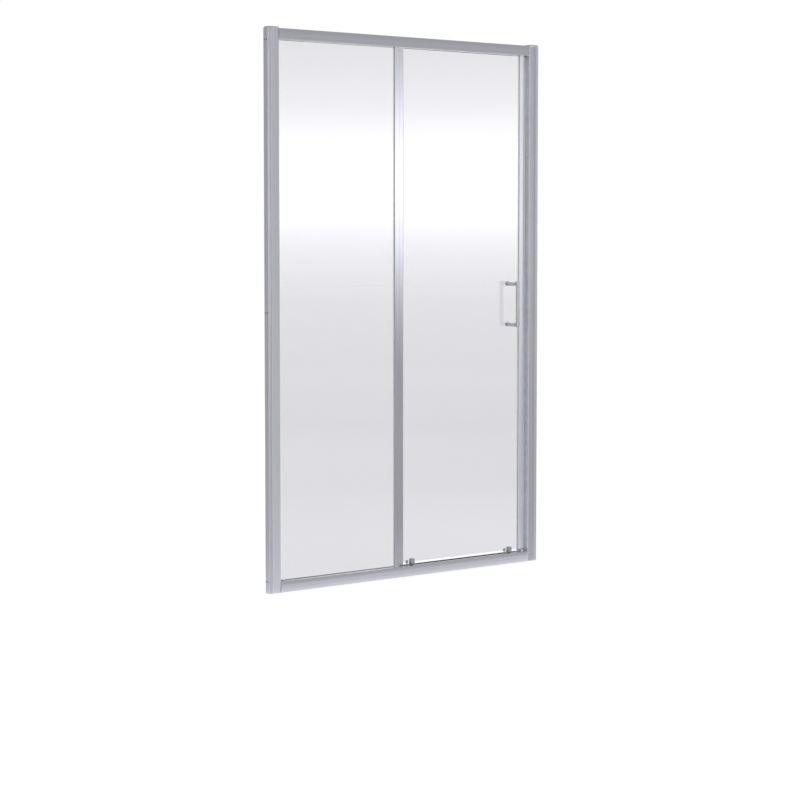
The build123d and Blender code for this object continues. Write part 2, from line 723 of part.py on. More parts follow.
# Post fixing screws on the shower side, each under a snap cover
fixing_screw = plain_screw(FIXING_RADIUS, FIXING_LENGTH, FIXING_HEAD_RADIUS, FIXING_HEAD_HEIGHT)
screw_cover = turned([
    (0, FIXING_HEAD_HEIGHT + CHANNEL_PLAY),
    (FIXING_HEAD_RADIUS + CHANNEL_PLAY, FIXING_HEAD_HEIGHT + CHANNEL_PLAY),
    (FIXING_HEAD_RADIUS + CHANNEL_PLAY, 0),
    (COVER_RADIUS, 0),
    (COVER_RADIUS - COVER_WALL / 2, FIXING_HEAD_HEIGHT + CHANNEL_PLAY + COVER_WALL),
    (0, FIXING_HEAD_HEIGHT + CHANNEL_PLAY + COVER_WALL),
])
fixing_places = [(side * fixing_x, at(POST_DEPTH), z) for side in (-1, 1) for z in fixing_heights]
with BuildPart() as post_fixing_screws:
    with Locations(*[Location(place, (0, 0, 180)) for place in fixing_places]):
        add(fixing_screw)
post_fixing_screws.part.label = "post_fixing_screws"
export_step(post_fixing_screws.part, "parts/post_fixing_screws.step")

with BuildPart() as screw_covers:
    with Locations(*fixing_places):
        add(screw_cover)
screw_covers.part.label = "screw_covers"
export_step(screw_covers.part, "parts/screw_covers.step")

# Door stops on the back wall of the roller compartment, straddling the rib
stop_block_back = RAIL_DEPTH - WALL
with BuildPart() as door_stop_blocks:
    with BuildSketch(Plane.XY.offset(head_mouth + STOP_BOTTOM)):
        for x in stop_middles:
            span((x - STOP_LENGTH / 2, at(STOP_FRONT)), (x + STOP_LENGTH / 2, at(stop_block_back)))
    extrude(amount=STOP_TOP - STOP_BOTTOM)
    with BuildSketch(Plane.XZ.offset(-at(stop_block_back))):
        with Locations(*[(x, stop_z) for x in stop_middles]):
            Circle(STOP_SCREW_RADIUS)
    extrude(amount=STOP_SCREW_BITE, mode=Mode.SUBTRACT)
door_stop_blocks.part.label = "door_stop_blocks"
export_step(door_stop_blocks.part, "parts/door_stop_blocks.step")

with BuildPart() as door_stop_buffers:
    with BuildSketch(Plane.XY.offset(head_mouth + STOP_BOTTOM)):
        for face, out in ((left_stop, 1), (right_stop, -1)):
            span((face, at(STOP_FRONT)), (face + out * STOP_BUFFER, at(stop_block_back)))
    extrude(amount=STOP_TOP - STOP_BOTTOM)
    fillet(door_stop_buffers.edges().filter_by(Axis.Z), radius=STOP_BUFFER / 4)
door_stop_buffers.part.label = "door_stop_buffers"
export_step(door_stop_buffers.part, "parts/door_stop_buffers.step")

stop_screw = plain_screw(STOP_SCREW_RADIUS, WALL + STOP_SCREW_BITE, STOP_HEAD_RADIUS, STOP_HEAD_HEIGHT)
with BuildPart() as door_stop_screws:
    with Locations(*[Location((x, at(RAIL_DEPTH), stop_z), (0, 0, 180)) for x in stop_middles]):
        add(stop_screw)
door_stop_screws.part.label = "door_stop_screws"
export_step(door_stop_screws.part, "parts/door_stop_screws.step")

# Door glass with its holes for the carriages, the guides and the handle
clamp_z = door_top - CLAMP_EDGE
guide_screw_z = door_bottom + GUIDE_SCREW_RISE
wheel_x_places = [x + step for x in roller_places for step in (-WHEEL_PITCH / 2, WHEEL_PITCH / 2)]
carriage_clamp_places = [(x, clamp_z) for x in wheel_x_places]
guide_jaw_offset = (GUIDE_LENGTH - GUIDE_JAW_WIDTH) / 2
guide_screw_places = [(x + guide_jaw_offset, guide_screw_z) for x in roller_places]
handle_places = [(handle_x, z) for z in handle_heights]
with BuildPart() as door_glass:
    with BuildSketch(Plane.XZ.offset(-at(door_glass_back))):
        span((overlap_glass_edge, door_bottom), (closing_glass_edge, door_top))
        with Locations(*carriage_clamp_places, *guide_screw_places):
            Circle(BUSH_RADIUS + GLASS_HOLE_PLAY, mode=Mode.SUBTRACT)
        with Locations(*handle_places):
            Circle(HANDLE_HOLE_RADIUS, mode=Mode.SUBTRACT)
    extrude(amount=GLASS)
door_glass.part.label = "door_glass"
export_step(door_glass.part, "parts/door_glass.step")

# Magnet seal on the closing stile: a slot foot and a soft tube that holds the magnet
seal_half = MAGNET_WIDTH / 2
with BuildPart() as door_magnet_seal:
    with BuildSketch(Plane.XY.offset(door_bottom)):
        span(
            (door_edge - SEAL_SLOT_REACH, at(DOOR_GLASS_DEPTH - SEAL_SLOT_WIDTH / 2)),
            (door_edge - SEAL_SLOT_LIP, at(DOOR_GLASS_DEPTH + SEAL_SLOT_WIDTH / 2)),
        )
        span(
            (door_edge - SEAL_SLOT_LIP, at(DOOR_GLASS_DEPTH - SEAL_SLOT_MOUTH / 2)),
            (door_edge, at(DOOR_GLASS_DEPTH + SEAL_SLOT_MOUTH / 2)),
        )
        span(
            (door_edge, at(DOOR_GLASS_DEPTH - seal_half)),
            (door_edge + CLOSING_SEAL_WIDTH, at(DOOR_GLASS_DEPTH + seal_half)),
        )
        span(
            (door_edge + STILE_GASKET_BASE, at(DOOR_GLASS_DEPTH - seal_half + STILE_GASKET_BASE)),
            (door_edge + CLOSING_SEAL_WIDTH / 2, at(DOOR_GLASS_DEPTH + seal_half - STILE_GASKET_BASE)),
            Mode.SUBTRACT,
        )
    extrude(amount=head_mouth - SEAL_TOP_GAP - door_bottom)
door_magnet_seal.part.label = "door_magnet_seal"
export_step(door_magnet_seal.part, "parts/door_magnet_seal.step")

# Fin seal on the overlap stile: it reaches forward to the back of the fixed stile
fin_tip_depth = FIXED_GLASS_DEPTH + STILE_DEPTH / 2 + FIN_GAP
fin_root_back = DOOR_GLASS_DEPTH + SEAL_SLOT_MOUTH / 2
fin_left = OVERLAP_STILE_LEFT - FIN_REACH
with BuildPart() as overlap_fin_seal:
    with BuildSketch(Plane.XY.offset(door_bottom)):
        span(
            (OVERLAP_STILE_LEFT + SEAL_SLOT_REACH, at(DOOR_GLASS_DEPTH - SEAL_SLOT_WIDTH / 2)),
            (OVERLAP_STILE_LEFT + SEAL_SLOT_LIP, at(DOOR_GLASS_DEPTH + SEAL_SLOT_WIDTH / 2)),
        )
        span(
            (OVERLAP_STILE_LEFT + SEAL_SLOT_LIP, at(DOOR_GLASS_DEPTH - SEAL_SLOT_MOUTH / 2)),
            (OVERLAP_STILE_LEFT, at(fin_root_back)),
        )
        with BuildLine():
            Polyline(
                (OVERLAP_STILE_LEFT, at(fin_root_back)),
                (OVERLAP_STILE_LEFT, at(fin_root_back - FIN_THICKNESS)),
                (fin_left + 2 * FIN_THICKNESS, at(fin_root_back - FIN_THICKNESS)),
                (fin_left + FIN_THICKNESS, at(DOOR_GLASS_DEPTH - SEAL_SLOT_MOUTH)),
                (fin_left + FIN_THICKNESS, at(fin_tip_depth)),
                (fin_left + FIN_THICKNESS / 2, at(fin_tip_depth)),
                (fin_left, at(DOOR_GLASS_DEPTH - SEAL_SLOT_MOUTH)),
                (fin_left + FIN_THICKNESS, at(fin_root_back)),
                close=True,
            )
        make_face()
    extrude(amount=head_mouth - SEAL_TOP_GAP - door_bottom)
overlap_fin_seal.part.label = "overlap_fin_seal"
export_step(overlap_fin_seal.part, "parts/overlap_fin_seal.step")

# End plugs: the feet of both door stiles
with BuildPart() as stile_end_plugs:
    with BuildSketch(Plane.XY.offset(door_bottom)):
        for middle in (OVERLAP_STILE_LEFT + DOOR_STILE_WIDTH / 2, door_edge - DOOR_STILE_WIDTH / 2):
            with Locations((middle, at(DOOR_GLASS_DEPTH))):
                RectangleRounded(DOOR_STILE_WIDTH, STILE_DEPTH, STILE_EDGE)
    extrude(amount=-PLUG_HEIGHT)
stile_end_plugs.part.label = "stile_end_plugs"
export_step(stile_end_plugs.part, "parts/stile_end_plugs.step")


# Top roller carriages: a plate behind the glass whose ends are folded back round the wheels
def carriage_plate(x):
    half = CARRIAGE_LENGTH / 2
    plate_back = door_glass_back + CARRIAGE_PLATE
    with BuildPart() as plate:
        with BuildSketch(Plane.XZ.offset(-at(plate_back))):
            with Locations((x, head_mouth + (CARRIAGE_TOP + CARRIAGE_BOTTOM) / 2)):
                RectangleRounded(CARRIAGE_LENGTH, CARRIAGE_TOP - CARRIAGE_BOTTOM, CARRIAGE_CORNER)
            for step in (-WHEEL_PITCH / 2, WHEEL_PITCH / 2):
                with Locations((x + step, clamp_z)):
                    Circle(CLAMP_SCREW_RADIUS, mode=Mode.SUBTRACT)
                with Locations((x + step, top_axle_z)):
                    Circle(TOP_AXLE_RADIUS, mode=Mode.SUBTRACT)
        extrude(amount=CARRIAGE_PLATE)
        with BuildSketch(Plane.XY.offset(head_mouth + CARRIAGE_FLANGE_BOTTOM)):
            for end, inward in ((x - half, 1), (x + half, -1)):
                flange_corner = (end + inward * CARRIAGE_FLANGE, at(plate_back + CARRIAGE_FLANGE_REACH))
                span((end, at(plate_back)), flange_corner)
        extrude(amount=CARRIAGE_FLANGE_TOP - CARRIAGE_FLANGE_BOTTOM)
    return plate


left_carriage = carriage_plate(left_roller_x)
left_carriage.part.label = "left_carriage"
export_step(left_carriage.part, "parts/left_carriage.step")

right_carriage = carriage_plate(right_roller_x)
right_carriage.part.label = "right_carriage"
export_step(right_carriage.part, "parts/right_carriage.step")


# Axles: riveted in their plate, with a shoulder before the wheel and a head behind it
def axle(radius, seat, shoulder):
    """Axle from its seat depth back, as (radius, y) points from the seat."""
    wheel_start = wheel_front - WHEEL_END_GAP - seat
    wheel_end = wheel_back + WHEEL_END_GAP - seat
    head = radius + AXLE_HEAD_STEP
    return turned([
        (0, 0),
        (radius, 0),
        (radius, shoulder),
        (head, shoulder),
        (head, wheel_start),
        (radius, wheel_start),
        (radius, wheel_end),
        (head, wheel_end),
        (head, wheel_end + AXLE_HEAD_HEIGHT),
        (0, wheel_end + AXLE_HEAD_HEIGHT),
    ])


with BuildPart() as carriage_axles:
    with Locations(*[(x, at(door_glass_back), top_axle_z) for x in wheel_x_places]):
        add(axle(TOP_AXLE_RADIUS, door_glass_back, CARRIAGE_PLATE))
carriage_axles.part.label = "carriage_axles"
export_step(carriage_axles.part, "parts/carriage_axles.step")


# Wheels: grooved nylon, dished on the back face, running on the rib
def wheel(tread, bore):
    flange = tread + FLANGE_HEIGHT
    floor = RIB_WIDTH / 2 + RIB_SIDE_GAP
    mouth = floor + FLANGE_HEIGHT / 4
    half = WHEEL_WIDTH / 2
    rim = HUB_RADIUS + (tread - HUB_RADIUS) * 2 / 3
    return turned([
        (bore, -half),
        (flange, -half),
        (flange, -mouth),
        (tread, -floor),
        (tread, floor),
        (flange, mouth),
        (flange, half),
        (rim, half),
        (rim, half - WHEEL_DISH),
        (HUB_RADIUS, half - WHEEL_DISH),
        (HUB_RADIUS, half),
        (bore, half),
    ])


top_wheel = wheel(TOP_TREAD_RADIUS, TOP_AXLE_RADIUS + RUNNING_GAP)
top_wheel_names = (
    "top_wheel_left_rear",
    "top_wheel_left_lead",
    "top_wheel_right_rear",
    "top_wheel_right_lead",
)
for name, x in zip(top_wheel_names, wheel_x_places):
    with BuildPart() as placed_wheel:
        with Locations((x, at(track_depth), top_axle_z)):
            add(top_wheel)
    placed_wheel.part.label = name
    export_step(placed_wheel.part, f"parts/{name}.step")

# Bushes that line the glass holes, and the clamp screws of the carriages
glass_bush = turned([
    (CLAMP_SCREW_RADIUS + RUNNING_GAP, -BUSH_FLANGE),
    (BUSH_FLANGE_RADIUS, -BUSH_FLANGE),
    (BUSH_FLANGE_RADIUS, 0),
    (BUSH_RADIUS, 0),
    (BUSH_RADIUS, GLASS),
    (CLAMP_SCREW_RADIUS + RUNNING_GAP, GLASS),
])
with BuildPart() as carriage_bushes:
    with Locations(*[(x, at(door_glass_front), z) for x, z in carriage_clamp_places]):
        add(glass_bush)
carriage_bushes.part.label = "carriage_bushes"
export_step(carriage_bushes.part, "parts/carriage_bushes.step")

clamp_screw = plain_screw(
    CLAMP_SCREW_RADIUS, BUSH_FLANGE + GLASS + CARRIAGE_PLATE, CLAMP_HEAD_RADIUS, CLAMP_HEAD_HEIGHT
)
with BuildPart() as carriage_clamp_screws:
    with Locations(*[(x, at(door_glass_front - BUSH_FLANGE), z) for x, z in carriage_clamp_places]):
        add(clamp_screw)
carriage_clamp_screws.part.label = "carriage_clamp_screws"
export_step(carriage_clamp_screws.part, "parts/carriage_clamp_screws.step")


# Bottom guide brackets: a jaw behind the glass and a foot that carries the release plunger
def guide_bracket(x):
    left = x - GUIDE_LENGTH / 2
    right = x + GUIDE_LENGTH / 2
    base_top = RAIL_HEIGHT + GUIDE_BASE_TOP
    back = door_glass_back + GUIDE_BRACKET_DEPTH
    with BuildPart() as bracket:
        with BuildSketch(Plane.XZ.offset(-at(back))):
            span((left, base_top - GUIDE_BASE_HEIGHT), (right, base_top))
            span((right - GUIDE_JAW_WIDTH, base_top), (right, door_bottom + GUIDE_JAW_TOP))
            with Locations((x + guide_jaw_offset, guide_screw_z)):
                Circle(CLAMP_SCREW_RADIUS, mode=Mode.SUBTRACT)
        extrude(amount=GUIDE_BRACKET_DEPTH)
        fillet(bracket.edges().filter_by(Axis.Y).group_by(Axis.Z)[-1], radius=GUIDE_EDGE)
        with BuildSketch(Plane.XY.offset(base_top)):
            with Locations((left + BUTTON_WIDTH / 2, at(stem_depth))):
                Circle(STEM_RADIUS + RUNNING_GAP)
        extrude(amount=-GUIDE_BASE_HEIGHT - OVERRUN, mode=Mode.SUBTRACT)
    return bracket


stem_depth = DOOR_GLASS_DEPTH + STEM_OFFSET
spring_low = RAIL_HEIGHT + GUIDE_BASE_TOP
spring_high = door_bottom

left_guide_bracket = guide_bracket(left_roller_x)
left_guide_bracket.part.label = "left_guide_bracket"
export_step(left_guide_bracket.part, "parts/left_guide_bracket.step")

right_guide_bracket = guide_bracket(right_roller_x)
right_guide_bracket.part.label = "right_guide_bracket"
export_step(right_guide_bracket.part, "parts/right_guide_bracket.step")

# Clamp pads in front of the glass, with the screws and bushes that pull them to the brackets
pad_low = door_bottom - GUIDE_PAD_DROP
pad_high = door_bottom + GUIDE_JAW_TOP
with BuildPart() as guide_clamp_pads:
    with BuildSketch(Plane.XZ.offset(-at(door_glass_front))):
        for x, z in guide_screw_places:
            with Locations((x, (pad_low + pad_high) / 2)):
                RectangleRounded(GUIDE_JAW_WIDTH, pad_high - pad_low, GUIDE_EDGE)
            with Locations((x, z)):
                Circle(CLAMP_SCREW_RADIUS, mode=Mode.SUBTRACT)
    extrude(amount=GUIDE_PAD)
guide_clamp_pads.part.label = "guide_clamp_pads"
export_step(guide_clamp_pads.part, "parts/guide_clamp_pads.step")

guide_bush = turned([
    (CLAMP_SCREW_RADIUS + RUNNING_GAP, 0),
    (BUSH_RADIUS, 0),
    (BUSH_RADIUS, GLASS),
    (CLAMP_SCREW_RADIUS + RUNNING_GAP, GLASS),
])
with BuildPart() as guide_bushes:
    with Locations(*[(x, at(door_glass_front), z) for x, z in guide_screw_places]):
        add(guide_bush)
guide_bushes.part.label = "guide_bushes"
export_step(guide_bushes.part, "parts/guide_bushes.step")

guide_screw_seat = door_glass_back + GUIDE_BRACKET_DEPTH
guide_screw = plain_screw(
    CLAMP_SCREW_RADIUS, GUIDE_BRACKET_DEPTH + GLASS + GUIDE_PAD, CLAMP_HEAD_RADIUS, CLAMP_HEAD_HEIGHT
)
with BuildPart() as guide_clamp_screws:
    with Locations(*[Location((x, at(guide_screw_seat), z), (0, 0, 180)) for x, z in guide_screw_places]):
        add(guide_screw)
guide_clamp_screws.part.label = "guide_clamp_screws"
export_step(guide_clamp_screws.part, "parts/guide_clamp_screws.step")


# Release plungers: a stem through the bracket with a boss that carries the guide wheel's axle
def plunger_x(x):
    return x - GUIDE_LENGTH / 2 + BUTTON_WIDTH / 2


def release_plunger(x):
    boss_back = wheel_front - BOSS_GAP
    stem_root = guide_axle_z + (GUIDE_AXLE_RADIUS + BOSS_RADIUS) / 2
    with BuildPart() as plunger:
        with BuildSketch(Plane.XY.offset(stem_root)):
            with Locations((plunger_x(x), at(stem_depth))):
                Circle(STEM_RADIUS)
        extrude(amount=door_bottom - stem_root)
        with BuildSketch(Plane.XZ.offset(-at(boss_back))):
            with Locations((plunger_x(x), guide_axle_z)):
                Circle(BOSS_RADIUS)
        extrude(amount=BOSS_WIDTH)
        with BuildSketch(Plane.XZ.offset(-at(boss_back))):
            with Locations((plunger_x(x), guide_axle_z)):
                Circle(GUIDE_AXLE_RADIUS)
        extrude(amount=BOSS_WIDTH, mode=Mode.SUBTRACT)
    return plunger


left_release_plunger = release_plunger(left_roller_x)
left_release_plunger.part.label = "left_release_plunger"
export_step(left_release_plunger.part, "parts/left_release_plunger.step")

right_release_plunger = release_plunger(right_roller_x)
right_release_plunger.part.label = "right_release_plunger"
export_step(right_release_plunger.part, "parts/right_release_plunger.step")


# Release buttons on top of the plungers: a thumb pad just behind the glass, and under the glass
# a collar that hides the spring
def release_button(x):
    pad_front = door_glass_back + BUTTON_GAP
    pad_back = pad_front + BUTTON_DEPTH
    cavity = SPRING_RADIUS + SPRING_WIRE + COLLAR_PLAY
    collar_front = stem_depth - cavity - COLLAR_WALL
    with BuildPart() as button:
        with BuildSketch(Plane.XY.offset(door_bottom - BUTTON_GAP)):
            with Locations((plunger_x(x), at((pad_front + pad_back) / 2))):
                RectangleRounded(BUTTON_WIDTH, BUTTON_DEPTH, BUTTON_EDGE)
        extrude(amount=BUTTON_HEIGHT + BUTTON_GAP)
        chamfer(button.edges().group_by(Axis.Z)[-1], length=BUTTON_EDGE / 2)
        with BuildSketch(Plane.XY.offset(door_bottom - BUTTON_GAP)):
            with Locations((plunger_x(x), at((collar_front + pad_back) / 2))):
                RectangleRounded(BUTTON_WIDTH, pad_back - collar_front, BUTTON_EDGE)
        extrude(amount=BUTTON_GAP - COLLAR_DROP)
        with BuildSketch(Plane.XY.offset(door_bottom)):
            with Locations((plunger_x(x), at(stem_depth))):
                Circle(cavity)
        extrude(amount=-COLLAR_DROP, mode=Mode.SUBTRACT)
    return button


left_release_button = release_button(left_roller_x)
left_release_button.part.label = "left_release_button"
export_step(left_release_button.part, "parts/left_release_button.step")

right_release_button = release_button(right_roller_x)
right_release_button.part.label = "right_release_button"
export_step(right_release_button.part, "parts/right_release_button.step")


# Release springs: one unbroken wire between the bracket's foot and the button
def release_spring(x):
    """Coil of half turns, each of two tangent arcs, standing round the plunger's stem."""
    steps = 2 * SPRING_TURNS
    start = spring_low + SPRING_WIRE
    rise = (spring_high - spring_low - 2 * SPRING_WIRE) / steps
    half_turn = math.pi
    points = []
    tangents = []
    for step in range(steps + 1):
        angle = half_turn * step
        points.append(Vector(
            plunger_x(x) + SPRING_RADIUS * math.cos(angle),
            at(stem_depth) + SPRING_RADIUS * math.sin(angle),
            start + rise * step,
        ))
        tangents.append(Vector(
            -SPRING_RADIUS * math.sin(angle),
            SPRING_RADIUS * math.cos(angle),
            rise / half_turn,
        ).normalized())
    with BuildPart() as spring:
        with BuildLine() as path:
            for here, there, leaving, arriving in zip(points, points[1:], tangents, tangents[1:]):
                chord = there - here
                both = leaving + arriving
                bend = 2 * (1 - leaving.dot(arriving))
                reach = (math.sqrt(chord.dot(both) ** 2 + bend * chord.dot(chord)) - chord.dot(both)) / bend
                meeting = (here + there + (leaving - arriving) * reach) * 0.5
                TangentArc(here, meeting, tangent=leaving)
                TangentArc(meeting, there, tangent=chord - both * reach)
        with BuildSketch(Plane(origin=points[0], z_dir=tangents[0])):
            RegularPolygon(SPRING_WIRE, SPRING_WIRE_SIDES)
        sweep(path=path.wire())
    coil = path.wire()
    centres = [coil @ (sample / SPRING_SAMPLES) for sample in range(SPRING_SAMPLES + 1)]
    half_turn_samples = SPRING_SAMPLES // steps
    least = min(
        (there - here).length
        for index, here in enumerate(centres)
        for there in centres[index + half_turn_samples:]
    )
    print("least gap of the spring to itself", round(least - 2 * SPRING_WIRE, 2), "mm")
    return spring


left_release_spring = release_spring(left_roller_x)
left_release_spring.part.label = "left_release_spring"
export_step(left_release_spring.part, "parts/left_release_spring.step")

right_release_spring = release_spring(right_roller_x)
right_release_spring.part.label = "right_release_spring"
export_step(right_release_spring.part, "parts/right_release_spring.step")

# Guide axles and guide wheels, hooked under the rib of the sill
guide_axle_seat = wheel_front - BOSS_GAP - BOSS_WIDTH
guide_wheel = wheel(GUIDE_TREAD_RADIUS, GUIDE_AXLE_RADIUS + RUNNING_GAP)
for side_name, roller_x in (("left", left_roller_x), ("right", right_roller_x)):
    with BuildPart() as placed_axle:
        with Locations((plunger_x(roller_x), at(guide_axle_seat), guide_axle_z)):
            add(axle(GUIDE_AXLE_RADIUS, guide_axle_seat, BOSS_WIDTH))
    placed_axle.part.label = f"{side_name}_guide_axle"
    export_step(placed_axle.part, f"parts/{side_name}_guide_axle.step")
    with BuildPart() as placed_guide_wheel:
        with Locations((plunger_x(roller_x), at(track_depth), guide_axle_z)):
            add(guide_wheel)
    placed_guide_wheel.part.label = f"{side_name}_guide_wheel"
    export_step(placed_guide_wheel.part, f"parts/{side_name}_guide_wheel.step")

# Handle: a flat bar on two round standoffs, bolted through the glass
washer_front = door_glass_front - HANDLE_WASHER
bar_back = washer_front - HANDLE_STANDOFF_LENGTH
with BuildPart() as handle_bar:
    with BuildSketch(Plane.XY.offset(HANDLE_MIDDLE - HANDLE_LENGTH / 2)):
        with Locations((handle_x, at(bar_back - HANDLE_BAR_DEPTH / 2))):
            RectangleRounded(HANDLE_BAR_WIDTH, HANDLE_BAR_DEPTH, HANDLE_BAR_EDGE)
    extrude(amount=HANDLE_LENGTH)
    ends = handle_bar.edges().group_by(Axis.Z)
    chamfer(ends[0] + ends[-1], length=HANDLE_BAR_EDGE / 2)
handle_bar.part.label = "handle_bar"
export_step(handle_bar.part, "parts/handle_bar.step")

standoff = turned([
    (0, 0),
    (HANDLE_STANDOFF_RADIUS, 0),
    (HANDLE_STANDOFF_RADIUS, HANDLE_STANDOFF_LENGTH),
    (HANDLE_BOLT_RADIUS, HANDLE_STANDOFF_LENGTH),
    (HANDLE_BOLT_RADIUS, HANDLE_STANDOFF_LENGTH - HANDLE_BOLT_BITE),
    (0, HANDLE_STANDOFF_LENGTH - HANDLE_BOLT_BITE),
])
with BuildPart() as handle_standoffs:
    with Locations(*[(x, at(bar_back), z) for x, z in handle_places]):
        add(standoff)
handle_standoffs.part.label = "handle_standoffs"
export_step(handle_standoffs.part, "parts/handle_standoffs.step")

handle_washer = turned([
    (HANDLE_BOLT_RADIUS + RUNNING_GAP, -HANDLE_WASHER),
    (HANDLE_STANDOFF_RADIUS, -HANDLE_WASHER),
    (HANDLE_STANDOFF_RADIUS, 0),
    (HANDLE_HOLE_RADIUS - GLASS_HOLE_PLAY, 0),
    (HANDLE_HOLE_RADIUS - GLASS_HOLE_PLAY, HANDLE_SLEEVE),
    (HANDLE_BOLT_RADIUS + RUNNING_GAP, HANDLE_SLEEVE),
])
with BuildPart() as handle_washers:
    for x, z in handle_places:
        with Locations(
            Location((x, at(door_glass_front), z)),
            Location((x, at(door_glass_back), z), (0, 0, 180)),
        ):
            add(handle_washer)
handle_washers.part.label = "handle_washers"
export_step(handle_washers.part, "parts/handle_washers.step")

knob_seat = door_glass_back + HANDLE_WASHER
knob = turned([
    (HANDLE_BOLT_RADIUS, 0),
    (KNOB_NECK_RADIUS, 0),
    (KNOB_NECK_RADIUS, KNOB_NECK),
    (KNOB_RADIUS, KNOB_NECK + (KNOB_RADIUS - KNOB_NECK_RADIUS)),
    (KNOB_RADIUS, KNOB_LENGTH - KNOB_EDGE),
    (KNOB_RADIUS - KNOB_EDGE, KNOB_LENGTH),
    (0, KNOB_LENGTH),
    (0, HANDLE_BOLT_BITE),
    (HANDLE_BOLT_RADIUS, HANDLE_BOLT_BITE),
])
with BuildPart() as handle_knobs:
    with Locations(*[(x, at(knob_seat), z) for x, z in handle_places]):
        add(knob)
handle_knobs.part.label = "handle_knobs"
export_step(handle_knobs.part, "parts/handle_knobs.step")

bolt_length = HANDLE_BOLT_BITE + HANDLE_WASHER + GLASS + HANDLE_WASHER + HANDLE_BOLT_BITE
handle_bolt = turned([(0, 0), (HANDLE_BOLT_RADIUS, 0), (HANDLE_BOLT_RADIUS, bolt_length), (0, bolt_length)])
with BuildPart() as handle_bolts:
    with Locations(*[(x, at(washer_front - HANDLE_BOLT_BITE), z) for x, z in handle_places]):
        add(handle_bolt)
handle_bolts.part.label = "handle_bolts"
export_step(handle_bolts.part, "parts/handle_bolts.step")
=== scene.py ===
import bmesh
import bpy
import math
from mathutils import Matrix, Vector


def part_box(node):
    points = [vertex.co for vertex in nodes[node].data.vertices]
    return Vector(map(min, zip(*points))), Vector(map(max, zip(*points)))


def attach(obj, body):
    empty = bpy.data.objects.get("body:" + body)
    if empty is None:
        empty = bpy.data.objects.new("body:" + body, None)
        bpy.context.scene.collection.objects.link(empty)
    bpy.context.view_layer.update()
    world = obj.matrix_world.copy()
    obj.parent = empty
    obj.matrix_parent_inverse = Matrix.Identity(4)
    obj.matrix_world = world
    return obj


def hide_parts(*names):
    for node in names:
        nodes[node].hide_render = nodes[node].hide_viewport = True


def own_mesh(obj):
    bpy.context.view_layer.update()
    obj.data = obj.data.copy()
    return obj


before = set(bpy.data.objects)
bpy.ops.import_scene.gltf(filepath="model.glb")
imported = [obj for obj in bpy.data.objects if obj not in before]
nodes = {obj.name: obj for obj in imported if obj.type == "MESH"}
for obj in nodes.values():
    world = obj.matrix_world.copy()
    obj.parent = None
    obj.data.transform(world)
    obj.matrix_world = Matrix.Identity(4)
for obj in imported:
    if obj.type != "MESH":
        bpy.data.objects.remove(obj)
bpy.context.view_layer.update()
scene = bpy.context.scene
scene.view_settings.view_transform = "Standard"

# Camera: it stands out in the room at eye height, left of the fixed pane, and looks along the door
# and a little down. The long lens keeps the uprights nearly parallel.
CAMERA_PLACE = (-4.22996, -5.54932, 1.18778)
CAMERA_TURN = 37.131
CAMERA_DIP = 3.613
CAMERA_LENS = 91.57
CAMERA_SHIFT = -0.05
CAMERA_SENSOR = 36
CAMERA_REACH = 200

camera = bpy.data.objects.new("camera", bpy.data.cameras.new("camera"))
camera.location = CAMERA_PLACE
camera.rotation_euler = (math.radians(90 - CAMERA_DIP), 0, math.radians(-CAMERA_TURN))
camera.data.lens = CAMERA_LENS
camera.data.sensor_width = CAMERA_SENSOR
camera.data.shift_y = CAMERA_SHIFT
camera.data.clip_end = CAMERA_REACH
scene.collection.objects.link(camera)
scene.camera = camera


# Floor: a wide sheet of pale paper that the sill stands on. It adds white of its own for the camera,
# so that only the shadow shows on it. Metal sees a painted pool of light in it: that white in full
# beside the sill and less of it further out. Through glass its white is painted dimmer, as shade,
# between the door's foot and the far floor.
FLOOR_SIZE = 60.0
FLOOR_COLOUR = (0.55, 0.55, 0.55, 1)
FLOOR_ROUGHNESS = 0.9
FLOOR_GLOSS = 0.1
FLOOR_WHITE = 0.6
THROUGH_GLASS_FOOT = 0.95
THROUGH_GLASS_NEAR = 0.82
FOOT_FROM = 0.9
FOOT_REACH = 2.2
NEAR_REACH = 4.8
FAR_REACH = 8.8
POOL_HALF_LENGTH = 0.6
STRIP_NEAR = 0.03
STRIP_FAR = 0.12
POOL_FAR = 1.0
POOL_NEAR_SHARE = 0.6
POOL_FAR_SHARE = 0.22


def new_material(name):
    """Material with an empty node tree and its output node."""
    material = bpy.data.materials.new(name)
    material.use_nodes = True
    tree = material.node_tree
    tree.nodes.clear()
    output = tree.nodes.new("ShaderNodeOutputMaterial")
    return material, tree, output


def maths(tree, operation, first, second=0.0):
    """Math node whose inputs are numbers or sockets; returns its output."""
    node = tree.nodes.new("ShaderNodeMath")
    node.operation = operation
    for socket, value in zip(node.inputs, (first, second)):
        if isinstance(value, (int, float)):
            socket.default_value = value
        else:
            tree.links.new(value, socket)
    return node.outputs[0]


def ranged(tree, value, low, high, first, last):
    """A value mapped from one range to another and held at its ends."""
    node = tree.nodes.new("ShaderNodeMapRange")
    node.inputs["From Min"].default_value = low
    node.inputs["From Max"].default_value = high
    node.inputs["To Min"].default_value = first
    node.inputs["To Max"].default_value = last
    tree.links.new(value, node.inputs["Value"])
    return node.outputs[0]


